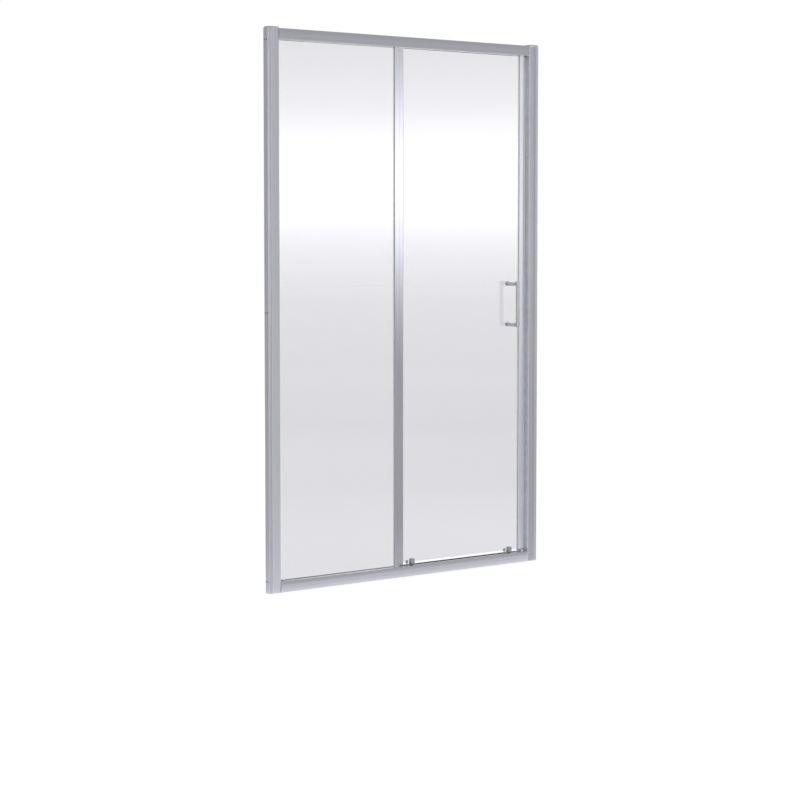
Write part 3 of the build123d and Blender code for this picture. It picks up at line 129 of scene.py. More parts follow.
def paper_white(tree):
    """The paper's own white for rays from the camera and through glass, and its share for metal, with
    painted shade through glass and a painted pool of light for metal.
    """
    place = tree.nodes.new("ShaderNodeTexCoord")
    split = tree.nodes.new("ShaderNodeSeparateXYZ")
    tree.links.new(place.outputs["Object"], split.inputs[0])
    beyond = maths(tree, "SUBTRACT", maths(tree, "ABSOLUTE", split.outputs["X"]), POOL_HALF_LENGTH)
    aside = maths(tree, "POWER", maths(tree, "MAXIMUM", beyond, 0.0), 2.0)
    away = maths(tree, "POWER", maths(tree, "ABSOLUTE", split.outputs["Y"]), 2.0)
    distance = maths(tree, "SQRT", maths(tree, "ADD", aside, away))
    path = tree.nodes.new("ShaderNodeLightPath")
    # Painted pool of light: metal sees the full white in a strip beside the sill and less further out.
    strip = ranged(tree, distance, STRIP_NEAR, STRIP_FAR, 1.0, 0.0)
    pool = ranged(tree, distance, STRIP_FAR, POOL_FAR, POOL_NEAR_SHARE, POOL_FAR_SHARE)
    pool = maths(tree, "MAXIMUM", strip, pool)
    mirrored = maths(tree, "MULTIPLY", path.outputs["Is Glossy Ray"], pool)
    # Painted shade: seen through glass, the white dips between the door's foot and the far floor.
    through = maths(
        tree, "MAXIMUM",
        ranged(tree, distance, FOOT_FROM, FOOT_REACH, THROUGH_GLASS_FOOT, THROUGH_GLASS_NEAR),
        ranged(tree, distance, NEAR_REACH, FAR_REACH, THROUGH_GLASS_NEAR, 1.0),
    )
    through = maths(tree, "MULTIPLY", path.outputs["Is Transmission Ray"], through)
    indirect = maths(tree, "MAXIMUM", through, mirrored)
    seen = maths(tree, "MAXIMUM", path.outputs["Is Camera Ray"], indirect)
    return maths(tree, "MULTIPLY", seen, FLOOR_WHITE)


bpy.ops.mesh.primitive_plane_add(size=FLOOR_SIZE)
floor = bpy.context.object
floor.name = "floor"
floor_material, tree, output = new_material("floor_paper")
paper = tree.nodes.new("ShaderNodeBsdfPrincipled")
paper.inputs["Base Color"].default_value = FLOOR_COLOUR
paper.inputs["Roughness"].default_value = FLOOR_ROUGHNESS
paper.inputs["Specular IOR Level"].default_value = FLOOR_GLOSS
paper.inputs["Emission Color"].default_value = (1, 1, 1, 1)
tree.links.new(paper_white(tree), paper.inputs["Emission Strength"])
tree.links.new(paper.outputs[0], output.inputs[0])
floor.data.materials.append(floor_material)


# Studio: a pale room with two large soft lamps. Metal and the panes mirror its walls a little
# dimmer, and the ceiling dimmer still, which gives the satin aluminium its soft tones.
ROOM_LIGHT = 0.75
WALL_LIGHT = 0.58
CEILING_LIGHT = 0.42
CEILING_FROM = 0.6
LAMP_AIM = (0, 0, 0.9)
TOP_LAMP_PLACE = (-1.5, -3.0, 5.5)
TOP_LAMP_SIZE = (4.0, 4.0)
TOP_LAMP_POWER = 60
BACK_LAMP_PLACE = (1.0, 4.5, 4.5)
BACK_LAMP_SIZE = (4.0, 3.0)
BACK_LAMP_POWER = 45

world = bpy.data.worlds.new("studio")
scene.world = world
world.use_nodes = True
tree = world.node_tree
tree.nodes.clear()
room_output = tree.nodes.new("ShaderNodeOutputWorld")
room = tree.nodes.new("ShaderNodeBackground")
path = tree.nodes.new("ShaderNodeLightPath")
place = tree.nodes.new("ShaderNodeTexCoord")
split = tree.nodes.new("ShaderNodeSeparateXYZ")
tree.links.new(place.outputs["Generated"], split.inputs[0])
fade = ranged(tree, split.outputs["Z"], 0.0, CEILING_FROM, WALL_LIGHT, CEILING_LIGHT)
clear = maths(tree, "MAXIMUM", path.outputs["Is Camera Ray"], path.outputs["Is Transmission Ray"])
dim = tree.nodes.new("ShaderNodeMix")
dim.inputs["A"].default_value = ROOM_LIGHT
tree.links.new(path.outputs["Is Glossy Ray"], dim.inputs["Factor"])
tree.links.new(fade, dim.inputs["B"])
strength = tree.nodes.new("ShaderNodeMix")
strength.inputs["B"].default_value = 1.0
tree.links.new(clear, strength.inputs["Factor"])
tree.links.new(dim.outputs[0], strength.inputs["A"])
room.inputs["Color"].default_value = (1, 1, 1, 1)
tree.links.new(strength.outputs[0], room.inputs["Strength"])
tree.links.new(room.outputs[0], room_output.inputs[0])


def soft_lamp(name, place, size, power):
    """Rectangular lamp at a place, turned to the door's middle."""
    lamp = bpy.data.objects.new(name, bpy.data.lights.new(name, "AREA"))
    lamp.data.shape = "RECTANGLE"
    lamp.data.size, lamp.data.size_y = size
    lamp.data.energy = power
    lamp.location = place
    away = [a - p for a, p in zip(LAMP_AIM, place)]
    flat = math.hypot(away[0], away[1])
    lamp.rotation_euler = (math.atan2(flat, -away[2]), 0, math.atan2(-away[0], away[1]))
    scene.collection.objects.link(lamp)


soft_lamp("top_lamp", TOP_LAMP_PLACE, TOP_LAMP_SIZE, TOP_LAMP_POWER)
soft_lamp("back_lamp", BACK_LAMP_PLACE, BACK_LAMP_SIZE, BACK_LAMP_POWER)


# Light card: it stands where both panes mirror it to the camera, and puts the bright band on them.
# Its glow rises and falls softly over its height, in shares of the full glow.
CARD_PLACE = (3.19, -4.59)
CARD_WIDTH = 2.0
CARD_LOW = 0.4
CARD_HIGH = 2.9
CARD_GLOW = 2.3
CARD_SHARES = (
    (0.02, 0.02), (0.15, 0.14), (0.2, 0.27), (0.25, 0.41), (0.29, 0.57), (0.35, 0.9), (0.42, 1.0),
    (0.5, 0.98), (0.57, 0.72), (0.62, 0.48), (0.68, 0.34), (0.76, 0.2), (0.95, 0.05),
)

bpy.ops.mesh.primitive_plane_add(size=1)
card = bpy.context.object
card.name = "light_card"
card.scale = (CARD_WIDTH, CARD_HIGH - CARD_LOW, 1)
card.location = (CARD_PLACE[0], CARD_PLACE[1], (CARD_LOW + CARD_HIGH) / 2)
card.rotation_euler = (math.radians(90), 0, math.radians(CAMERA_TURN))
card.visible_camera = False
card.visible_shadow = False
card_material, tree, output = new_material("light_card")
glow = tree.nodes.new("ShaderNodeEmission")
clear = tree.nodes.new("ShaderNodeBsdfTransparent")
both = tree.nodes.new("ShaderNodeAddShader")
place = tree.nodes.new("ShaderNodeTexCoord")
split = tree.nodes.new("ShaderNodeSeparateXYZ")
ramp = tree.nodes.new("ShaderNodeValToRGB")
stops = ramp.color_ramp.elements
stops[0].color = (0, 0, 0, 1)
stops[1].color = (0, 0, 0, 1)
for share, glow_share in CARD_SHARES:
    stop = stops.new(share)
    stop.color = (glow_share, glow_share, glow_share, 1)
tree.links.new(place.outputs["Object"], split.inputs[0])
tree.links.new(maths(tree, "ADD", split.outputs["Y"], 0.5), ramp.inputs["Fac"])
tree.links.new(maths(tree, "MULTIPLY", ramp.outputs["Color"], CARD_GLOW), glow.inputs["Strength"])
tree.links.new(clear.outputs[0], both.inputs[0])
tree.links.new(glow.outputs[0], both.inputs[1])
tree.links.new(both.outputs[0], output.inputs[0])
card.data.materials.append(card_material)


# Wall channels and posts: satin anodised aluminium extrusions, each in a painted tone, lighter or
# darker to stand in for how light falls on it. The die leaves fine lines along each length, handling
# leaves smoother patches, the finish is rubbed at the edges, and round the right post's mouth it is
# painted paler as a highlight.
ALUMINIUM_DARK = (0.575, 0.58, 0.64)
ALUMINIUM_LIGHT = (0.625, 0.63, 0.69)
ALUMINIUM_RUBBED = (0.7, 0.705, 0.745)
# Painted tones: one aluminium made lighter or darker for each piece as light falls on it.
UPRIGHT_PAINTED_TONES = (("left_wall_channel", 0.98), ("right_wall_channel", 0.95), ("left_post", 1.21))
RIGHT_POST_PAINTED_TONE = 0.82
ALONG_HEIGHT = (1, 1, 0.004)
DIE_LINES = 1400.0
DIE_LINE_DETAIL = 4.0
DIE_LINE_DEPTH = 0.00002
PATCH_SCALE = 9.0
PATCH_DETAIL = 5.0
NOISE_ROUGHNESS = 0.55
PAIR_CENTRE = 1.0
PAIR_REACH = 0.4
EDGE_PATCH_SCALE = 45.0
EDGE_PATCH_DETAIL = 4.0
EDGE_PATCH_LEAST = 0.6
ZONE_POLISH = 0.3
POST_SMOOTH = 0.4
POST_ROUGH = 0.52
POST_EDGE = 0.005
POST_CROWN = 0.002
# Painted highlight: the pale colour round the right post's mouth stands in for the white it mirrors.
MOUTH_PAINTED_HIGHLIGHT = (0.9, 0.9, 0.93, 1)
MOUTH_REACH = 0.004


def socket_group(name, inputs, outputs):
    """Node group with named inputs (name, kind, value) and outputs (name, kind)."""
    group = bpy.data.node_groups.new(name, "ShaderNodeTree")
    for label, kind, value in inputs:
        made = group.interface.new_socket(name=label, in_out="INPUT", socket_type=kind)
        made.default_value = value
    for label, kind in outputs:
        group.interface.new_socket(name=label, in_out="OUTPUT", socket_type=kind)
    return group, group.nodes.new("NodeGroupInput"), group.nodes.new("NodeGroupOutput")


def vector_maths(tree, operation, first, second):
    """Vector Math node on two sockets; returns its output."""
    node = tree.nodes.new("ShaderNodeVectorMath")
    node.operation = operation
    tree.links.new(first, node.inputs[0])
    tree.links.new(second, node.inputs[1])
    return node.outputs[0]


def noise(tree, vector, scale, detail):
    """Noise value of a vector socket at a scale."""
    node = tree.nodes.new("ShaderNodeTexNoise")
    node.inputs["Scale"].default_value = scale
    node.inputs["Detail"].default_value = detail
    node.inputs["Roughness"].default_value = NOISE_ROUGHNESS
    tree.links.new(vector, node.inputs["Vector"])
    return node.outputs["Fac"]


def spread(tree, value, low, high, centre=0.5, reach=0.25):
    """A noise value spread between two numbers; two noises added have another centre and reach."""
    return ranged(tree, value, centre - reach, centre + reach, low, high)


def build_grain():
    """Fine lines along one axis and soft patches, for drawn and brushed metal."""
    group, entry, leave = socket_group(
        "drawn_grain",
        (("Stretch", "NodeSocketVector", (1, 1, 1)), ("Fineness", "NodeSocketFloat", DIE_LINES)),
        (("Lines", "NodeSocketFloat"), ("Patches", "NodeSocketFloat")),
    )
    place = group.nodes.new("ShaderNodeTexCoord")
    stretched = vector_maths(group, "MULTIPLY", place.outputs["Object"], entry.outputs["Stretch"])
    lines = group.nodes.new("ShaderNodeTexNoise")
    lines.inputs["Detail"].default_value = DIE_LINE_DETAIL
    group.links.new(stretched, lines.inputs["Vector"])
    group.links.new(entry.outputs["Fineness"], lines.inputs["Scale"])
    group.links.new(lines.outputs["Fac"], leave.inputs["Lines"])
    patches = noise(group, place.outputs["Object"], PATCH_SCALE, PATCH_DETAIL)
    group.links.new(patches, leave.inputs["Patches"])
    return group


def build_edge_mask():
    """Mask along the edges between two corners: 1 at an edge and 0 a width away, in patches."""
    group, entry, leave = socket_group(
        "edge_mask",
        (("Low", "NodeSocketVector", (0, 0, 0)), ("High", "NodeSocketVector", (1, 1, 1)),
         ("Width", "NodeSocketFloat", POST_EDGE)),
        (("Mask", "NodeSocketFloat"),),
    )
    place = group.nodes.new("ShaderNodeTexCoord")
    from_low = vector_maths(group, "SUBTRACT", place.outputs["Object"], entry.outputs["Low"])
    to_high = vector_maths(group, "SUBTRACT", entry.outputs["High"], place.outputs["Object"])
    split = group.nodes.new("ShaderNodeSeparateXYZ")
    group.links.new(vector_maths(group, "MINIMUM", from_low, to_high), split.inputs[0])
    nearer = maths(group, "MINIMUM", split.outputs["X"], split.outputs["Y"])
    further = maths(group, "MAXIMUM", split.outputs["X"], split.outputs["Y"])
    second = maths(group, "MAXIMUM", nearer, maths(group, "MINIMUM", further, split.outputs["Z"]))
    share = maths(group, "DIVIDE", maths(group, "MAXIMUM", second, 0.0), entry.outputs["Width"])
    edge = maths(group, "MAXIMUM", maths(group, "SUBTRACT", 1.0, share), 0.0)
    patches = noise(group, place.outputs["Object"], EDGE_PATCH_SCALE, EDGE_PATCH_DETAIL)
    worn = maths(group, "MULTIPLY", edge, spread(group, patches, EDGE_PATCH_LEAST, 1.0))
    group.links.new(worn, leave.inputs["Mask"])
    return group


grain_group = build_grain()
edge_mask_group = build_edge_mask()


def blend_colour(tree, fac, dark, light):
    """Colour between two colours, each a value or a socket, by a value socket."""
    node = tree.nodes.new("ShaderNodeMix")
    node.data_type = "RGBA"
    for label, colour in (("A", dark), ("B", light)):
        if isinstance(colour, tuple):
            node.inputs[label].default_value = colour
        else:
            tree.links.new(colour, node.inputs[label])
    tree.links.new(fac, node.inputs["Factor"])
    return node.outputs["Result"]


def bump(tree, height, depth):
    """Normal socket of a bump of a given depth in metres."""
    node = tree.nodes.new("ShaderNodeBump")
    node.inputs["Strength"].default_value = 1.0
    node.inputs["Distance"].default_value = depth
    tree.links.new(height, node.inputs["Height"])
    return node.outputs[0]


def drawn_metal(name, stretch, fineness, dark, light, smooth, rough, depth, *wear_and_highlight_zones):
    """Metal with lines along one axis; a zone is (colour, low, high corner, width), for rubbed wear
    and for painted highlight.
    """
    material, tree, output = new_material(name)
    metal = tree.nodes.new("ShaderNodeBsdfPrincipled")
    metal.inputs["Metallic"].default_value = 1.0
    grain = tree.nodes.new("ShaderNodeGroup")
    grain.node_tree = grain_group
    grain.inputs["Stretch"].default_value = stretch
    grain.inputs["Fineness"].default_value = fineness
    colour = blend_colour(tree, spread(tree, grain.outputs["Lines"], 0.0, 1.0), dark, light)
    sheen = maths(tree, "ADD", grain.outputs["Lines"], grain.outputs["Patches"])
    for zone_colour, low, high, width in wear_and_highlight_zones:
        zone_mask = tree.nodes.new("ShaderNodeGroup")
        zone_mask.node_tree = edge_mask_group
        zone_mask.inputs["Low"].default_value = low
        zone_mask.inputs["High"].default_value = high
        zone_mask.inputs["Width"].default_value = width
        colour = blend_colour(tree, zone_mask.outputs["Mask"], colour, zone_colour)
        polish = maths(tree, "MULTIPLY", zone_mask.outputs["Mask"], ZONE_POLISH)
        sheen = maths(tree, "SUBTRACT", sheen, polish)
    roughness = spread(tree, sheen, smooth, rough, PAIR_CENTRE, PAIR_REACH)
    tree.links.new(colour, metal.inputs["Base Color"])
    tree.links.new(roughness, metal.inputs["Roughness"])
    tree.links.new(bump(tree, grain.outputs["Lines"], depth), metal.inputs["Normal"])
    tree.links.new(metal.outputs[0], output.inputs[0])
    return material


def dress(names, material):
    """Puts a material on the CAD nodes of those names."""
    for name in names:
        for slot in nodes[name].material_slots:
            slot.material = material


def anodised(name, painted_tone, stretch, smooth, rough, crown, width, *wear_and_highlight_zones):
    """Dresses one extrusion in satin aluminium of a painted tone, standing in for light and shade,
    rubbed at its own edges.
    """
    low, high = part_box(name)
    dark, light, zone_colour = (
        tuple(painted_tone * part for part in colour) + (1,)
        for colour in (ALUMINIUM_DARK, ALUMINIUM_LIGHT, ALUMINIUM_RUBBED)
    )
    edges = (zone_colour, low + Vector((0, crown, 0)), high, width)
    dress((name,), drawn_metal(
        name + "_aluminium", stretch, DIE_LINES, dark, light, smooth, rough, DIE_LINE_DEPTH,
        edges, *wear_and_highlight_zones))


for name, painted_tone in UPRIGHT_PAINTED_TONES:
    anodised(name, painted_tone, ALONG_HEIGHT, POST_SMOOTH, POST_ROUGH, POST_CROWN, POST_EDGE)
low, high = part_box("right_post")
middle = (low.y + high.y) / 2
# Painted highlight round the right post's mouth, also made smoother.
mouth_painted_highlight = (
    MOUTH_PAINTED_HIGHLIGHT, Vector((low.x, middle, low.z)), Vector((high.x, middle, high.z)), MOUTH_REACH)
anodised("right_post", RIGHT_POST_PAINTED_TONE, ALONG_HEIGHT, POST_SMOOTH, POST_ROUGH, POST_CROWN, POST_EDGE,
         mouth_painted_highlight)


# Head rail and sill: one extrusion used mouth down and mouth up, cut square between the posts.
# The barbed infill strips over and under the doorway are drawn from the same aluminium. The light
# card is flagged off both rails and the left post, which show none of its band.
RAIL_TONES = (("head_rail", 1.05), ("sill", 1.0))
STRIP_TONE = 1.0
ALONG_WIDTH = (0.004, 1, 1)
RAIL_SMOOTH = 0.13
RAIL_ROUGH = 0.2
RAIL_EDGE = 0.005
STRIP_EDGE = 0.001

for name, painted_tone in RAIL_TONES:
    anodised(name, painted_tone, ALONG_WIDTH, RAIL_SMOOTH, RAIL_ROUGH, POST_CROWN, RAIL_EDGE)
for name in ("head_infill_strip", "sill_infill_strip"):
    anodised(name, STRIP_TONE, ALONG_WIDTH, RAIL_SMOOTH, RAIL_ROUGH, 0.0, STRIP_EDGE)
flagged = bpy.data.collections.new("flagged_from_card")
for name in ("head_rail", "sill", "left_post"):
    flagged.objects.link(nodes[name])
for entry in flagged.collection_objects:
    entry.light_linking.link_state = "EXCLUDE"
card.light_linking.receiver_collection = flagged


# Post caps and screw covers: moulded in a grey plastic close to the metal's tone, pressed in place.
# The mould leaves a very fine even texture.
CAP_DARK = (0.42, 0.425, 0.445, 1)
CAP_LIGHT = (0.48, 0.485, 0.505, 1)
CAP_SMOOTH = 0.35
CAP_ROUGH = 0.5
CAP_TEXTURE = 1100
CAP_TEXTURE_DEPTH = 0.00004
MOULD_DETAIL = 4.0
MOULD_PATCH_SCALE = 40.0
MOULD_PATCH_DETAIL = 3.0
SUBSURFACE_DEPTH = 0.002


def moulded(name, dark, light, smooth, rough, scale, depth, subsurface=0.0):
    """Plastic or rubber with a fine moulded texture and soft patches."""
    material, tree, output = new_material(name)
    plastic = tree.nodes.new("ShaderNodeBsdfPrincipled")
    plastic.inputs["Subsurface Weight"].default_value = subsurface
    plastic.inputs["Subsurface Scale"].default_value = SUBSURFACE_DEPTH
    place = tree.nodes.new("ShaderNodeTexCoord")
    fine = noise(tree, place.outputs["Object"], scale, MOULD_DETAIL)
    broad = noise(tree, place.outputs["Object"], MOULD_PATCH_SCALE, MOULD_PATCH_DETAIL)
    colour = blend_colour(tree, spread(tree, broad, 0.0, 1.0), dark, light)
    both = maths(tree, "ADD", fine, broad)
    roughness = spread(tree, both, smooth, rough, PAIR_CENTRE, PAIR_REACH)
    tree.links.new(colour, plastic.inputs["Base Color"])
    tree.links.new(roughness, plastic.inputs["Roughness"])
    tree.links.new(bump(tree, fine, depth), plastic.inputs["Normal"])
    tree.links.new(plastic.outputs[0], output.inputs[0])
    return material


cap_plastic = moulded(
    "cap_plastic", CAP_DARK, CAP_LIGHT, CAP_SMOOTH, CAP_ROUGH, CAP_TEXTURE, CAP_TEXTURE_DEPTH)
dress(("left_post_cap", "right_post_cap", "screw_covers"), cap_plastic)


# Frame screws: zinc-plated pan heads with a cross recess. The corner screws run through the posts
# into the rails' screw ports, and the fixing screws hold the posts on their wall channels.
ZINC_DARK = (0.42, 0.43, 0.44, 1)
ZINC_LIGHT = (0.55, 0.56, 0.57, 1)
ZINC_STRETCH = (1, 0.05, 1)
ZINC_LINES = 1200.0
ZINC_LINE_DEPTH = 0.00001
ZINC_SMOOTH = 0.25
ZINC_ROUGH = 0.42
SCREW_STEPS = 32
HEAD_TOP_REACH = 0.8
HEAD_TOP_HEIGHT = 0.9
HEAD_SIDE_HEIGHT = 0.45
RECESS_REACH = 0.58
RECESS_WIDTH = 0.15
RECESS_DEPTH = 0.7
RECESS_TAPER = 0.6
LEAST_SHARE = 0.01
CREASE = math.radians(35)

zinc_steel = drawn_metal(
    "zinc_steel", ZINC_STRETCH, ZINC_LINES, ZINC_DARK, ZINC_LIGHT, ZINC_SMOOTH, ZINC_ROUGH,
    ZINC_LINE_DEPTH)


def soften(mesh):
    """Smooth shading with creases where the faces turn sharply, and normals that point outwards."""
    bmesh.ops.recalc_face_normals(mesh, faces=mesh.faces)
    for face in mesh.faces:
        face.smooth = True
    for edge in mesh.edges:
        edge.smooth = edge.calc_face_angle(0.0) < CREASE


def add_piece(mesh, name, material, body, replaced=None):
    """Object of a finished bmesh, riding on a body and standing for a CAD node if one is named."""
    data = bpy.data.meshes.new(name)
    mesh.to_mesh(data)
    mesh.free()
    piece = bpy.data.objects.new(name, data)
    scene.collection.objects.link(piece)
    data.materials.append(material)
    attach(piece, body)
    if replaced:
        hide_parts(replaced)
    return piece


def cross_screw(radius, length, head_radius, head_height):
    """Mesh of one screw along -Z, its head's underside at zero."""
    screw = bmesh.new()
    profile = (
        (head_radius * RECESS_REACH, head_height),
        (head_radius * HEAD_TOP_REACH, head_height * HEAD_TOP_HEIGHT),
        (head_radius, head_height * HEAD_SIDE_HEIGHT),
        (head_radius, 0),
        (radius, 0),
        (radius, radius - length),
        (radius / 2, -length),
    )
    points = [screw.verts.new((across, 0, up)) for across, up in profile]
    lines = [screw.edges.new(pair) for pair in zip(points, points[1:])]
    bmesh.ops.spin(
        screw, geom=points + lines, cent=(0, 0, 0), axis=(0, 0, 1), angle=2 * math.pi,
        steps=SCREW_STEPS, use_merge=True)
    rim = [edge for edge in screw.edges
           if edge.is_boundary and all(point.co.z > 0 for point in edge.verts)]
    for point in {point for edge in rim for point in edge.verts}:
        away = point.co.xy.length
        widest = max(abs(point.co.x), abs(point.co.y)) / away
        narrowest = max(min(abs(point.co.x), abs(point.co.y)) / away, LEAST_SHARE)
        wanted = min(away / widest, head_radius * RECESS_WIDTH / narrowest)
        point.co.xy *= wanted / away
    pressed = bmesh.ops.extrude_edge_only(screw, edges=rim)["geom"]
    recess = [item for item in pressed if isinstance(item, bmesh.types.BMVert)]
    bmesh.ops.scale(screw, vec=(RECESS_TAPER, RECESS_TAPER, 1), verts=recess)
    bmesh.ops.translate(screw, vec=(0, 0, -head_height * RECESS_DEPTH), verts=recess)
    bmesh.ops.holes_fill(screw, edges=[edge for edge in screw.edges if edge.is_boundary])
    soften(screw)
    return screw


def screw_set(name, node, body, seats, facing, radius, length, head_radius, head_height):
    """Screws of one size at their seats, heads facing one way, in place of a CAD node."""
    turn = Vector((0, 0, 1)).rotation_difference(Vector(facing)).to_matrix().to_4x4()
    together = bmesh.new()
    for seat in seats:
        screw = cross_screw(radius, length, head_radius, head_height)
        bmesh.ops.transform(screw, matrix=Matrix.Translation(seat) @ turn, verts=screw.verts)
        loose = bpy.data.meshes.new("loose")
        screw.to_mesh(loose)
        screw.free()
        together.from_mesh(loose)
        bpy.data.meshes.remove(loose)
    return add_piece(together, name, zinc_steel, body, node)


def corners_of(node, head_radius):
    """Lowest and highest screw axis of a set, from its CAD node's box."""
    low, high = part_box(node)
    inset = Vector((head_radius, head_radius, head_radius))
    return low + inset, high - inset


dress(("corner_screws",), zinc_steel)

FIXING_RADIUS = 0.00175
FIXING_LENGTH = 0.006
FIXING_HEAD = 0.0035
FIXING_HEAD_HEIGHT = 0.002
low, high = corners_of("post_fixing_screws", FIXING_HEAD)
fixing_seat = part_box("left_post")[1].y
fixing_seats = [
    (x, fixing_seat, z)
    for x in (low.x, high.x)
    for z in (low.z, (low.z + high.z) / 2, high.z)
]
screw_set("post_fixing_cross_screws", "post_fixing_screws", "frame", fixing_seats, (0, 1, 0),
          FIXING_RADIUS, FIXING_LENGTH, FIXING_HEAD, FIXING_HEAD_HEIGHT)


# Panes: 5 mm toughened glass, faintly grey, with the slight waviness that toughening leaves, and a
# film on both faces that water runs off. The fixed pane stands in the post and the rails, and the
# door's is drilled for its fittings.
GLASS_TINT = (0.73, 0.725, 0.76, 1)
GLASS_SHADE = (0.86, 0.865, 0.87, 1)
GLASS_IOR = 1.5
GLASS_SMOOTH = 0.0
GLASS_ROUGH = 0.03
WAVE_SCALE = 2.5
WAVE_DETAIL = 1.0
WAVE_DEPTH = 0.0004
EASY_CLEAN_FILM = 1.0
FILM_IOR = 1.6
FILM_PATCH_SCALE = 3.0
FILM_PATCH_DETAIL = 4.0


def see_through(name, tint, ior, smooth, rough, wave_scale, wave_depth):
    """Clear material with a soft film and waves, which lets lamp light through in straight lines."""
    material, tree, output = new_material(name)
    clear = tree.nodes.new("ShaderNodeBsdfPrincipled")
    clear.inputs["Base Color"].default_value = tint
    clear.inputs["Transmission Weight"].default_value = 1.0
    clear.inputs["IOR"].default_value = ior
    place = tree.nodes.new("ShaderNodeTexCoord")
    film = noise(tree, place.outputs["Object"], FILM_PATCH_SCALE, FILM_PATCH_DETAIL)
    tree.links.new(spread(tree, film, smooth, rough), clear.inputs["Roughness"])
    wave = noise(tree, place.outputs["Object"], wave_scale, WAVE_DETAIL)
    tree.links.new(bump(tree, wave, wave_depth), clear.inputs["Normal"])
    path = tree.nodes.new("ShaderNodeLightPath")
    through = tree.nodes.new("ShaderNodeBsdfTransparent")
    through.inputs["Color"].default_value = GLASS_SHADE
    mix = tree.nodes.new("ShaderNodeMixShader")
    passing = maths(tree, "MAXIMUM", path.outputs["Is Shadow Ray"], path.outputs["Is Diffuse Ray"])
    tree.links.new(passing, mix.inputs["Fac"])
    tree.links.new(clear.outputs[0], mix.inputs[1])
    tree.links.new(through.outputs[0], mix.inputs[2])
    tree.links.new(mix.outputs[0], output.inputs[0])
    return material, clear


pane_glass, glass = see_through(
    "pane_glass", GLASS_TINT, GLASS_IOR, GLASS_SMOOTH, GLASS_ROUGH, WAVE_SCALE, WAVE_DEPTH)
glass.inputs["Coat Weight"].default_value = EASY_CLEAN_FILM
glass.inputs["Coat IOR"].default_value = FILM_IOR
dress(("fixed_glass", "door_glass"), pane_glass)


# Stiles: slim rounded extrusions pressed over the free edge of the fixed pane and both edges of the
# door's pane. Their finish is the frame's, a little smoother, each in a painted tone, lighter or
# darker
# as light falls on it: painted tone, smoothest and roughest.
STILE_EDGE = 0.0015
STILE_PAINTED_TONES_AND_FINISHES = (
    ("fixed_stile", 0.8, 0.14, 0.22),
    ("closing_stile", 1.25, 0.3, 0.4),
    ("overlap_stile", 0.8, 0.14, 0.22),
)

for name, painted_tone, smooth, rough in STILE_PAINTED_TONES_AND_FINISHES:
    anodised(name, painted_tone, ALONG_HEIGHT, smooth, rough, 0.0, STILE_EDGE)


# Glazing gaskets: a U of milky vinyl round each glass edge, filling its groove, and a grey one in
# the post. A soft clear bead stands out of the groove and wipes both faces of the glass.
VINYL_DARK = (0.83, 0.835, 0.85, 1)
VINYL_LIGHT = (0.89, 0.895, 0.91, 1)
POST_VINYL_DARK = (0.32, 0.325, 0.34, 1)
POST_VINYL_LIGHT = (0.38, 0.385, 0.4, 1)
VINYL_SMOOTH = 0.35
VINYL_ROUGH = 0.5
VINYL_TEXTURE = 700
VINYL_TEXTURE_DEPTH = 0.00003
VINYL_SUBSURFACE = 0.25
POST_VINYL_SMOOTH = 0.4
POST_VINYL_ROUGH = 0.55
BEAD_TINT = (0.95, 0.95, 0.97, 1)
BEAD_IOR = 1.4
BEAD_SMOOTH = 0.2
BEAD_ROUGH = 0.3
BEAD_TEXTURE = 200.0
BEAD_TEXTURE_DEPTH = 0.00005
BEAD_REACH = 0.0025
BEAD_ROUNDING = 0.35
BEAD_STEPS = 3
BEAD_GLASS_GAP = 0.00005
GLASS_THICKNESS = 0.005

vinyl = moulded("glazing_vinyl", VINYL_DARK, VINYL_LIGHT, VINYL_SMOOTH, VINYL_ROUGH, VINYL_TEXTURE,
                VINYL_TEXTURE_DEPTH, VINYL_SUBSURFACE)
bead_vinyl, _ = see_through(
    "bead_vinyl", BEAD_TINT, BEAD_IOR, BEAD_SMOOTH, BEAD_ROUGH, BEAD_TEXTURE, BEAD_TEXTURE_DEPTH)
post_vinyl = moulded("post_vinyl", POST_VINYL_DARK, POST_VINYL_LIGHT, POST_VINYL_SMOOTH,
                     POST_VINYL_ROUGH, VINYL_TEXTURE, VINYL_TEXTURE_DEPTH)
dress(("fixed_stile_gasket", "head_gasket", "sill_gasket", "closing_stile_gasket",
       "overlap_stile_gasket", "handle_washers"), vinyl)
dress(("post_gasket",), post_vinyl)


def bead_bar(mesh, low, high):
    """Adds a rounded bar between two corners to a bmesh."""
    middle = [(a + b) / 2 for a, b in zip(low, high)]
    size = [abs(b - a) for a, b in zip(low, high)]
    place = Matrix.Translation(middle) @ Matrix.Diagonal((*size, 1))
    made = bmesh.ops.create_cube(mesh, size=1, matrix=place)
    edges = {edge for point in made["verts"] for edge in point.link_edges}
    bmesh.ops.bevel(
        mesh, geom=list(edges), offset=min(size) * BEAD_ROUNDING, offset_type="OFFSET", affect="EDGES",
        segments=BEAD_STEPS, profile=0.5, material=-1)


def glazing_beads(name, node, material, body, mouth, start, end, upright):
    """Beads on both faces of the glass, from the groove's mouth (place, side), along a stretch."""
    low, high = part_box(node)
    middle = (low.y + high.y) / 2
    tip = mouth[0] + mouth[1] * BEAD_REACH
    mesh = bmesh.new()
    for side, edge in ((-1, low.y), (1, high.y)):
        face = middle + side * (GLASS_THICKNESS / 2 + BEAD_GLASS_GAP)
        if upright:
            bead_bar(mesh, (mouth[0], face, start), (tip, edge, end))
        else:
            bead_bar(mesh, (start, face, mouth[0]), (end, edge, tip))
    soften(mesh)
    return add_piece(mesh, name, material, body)


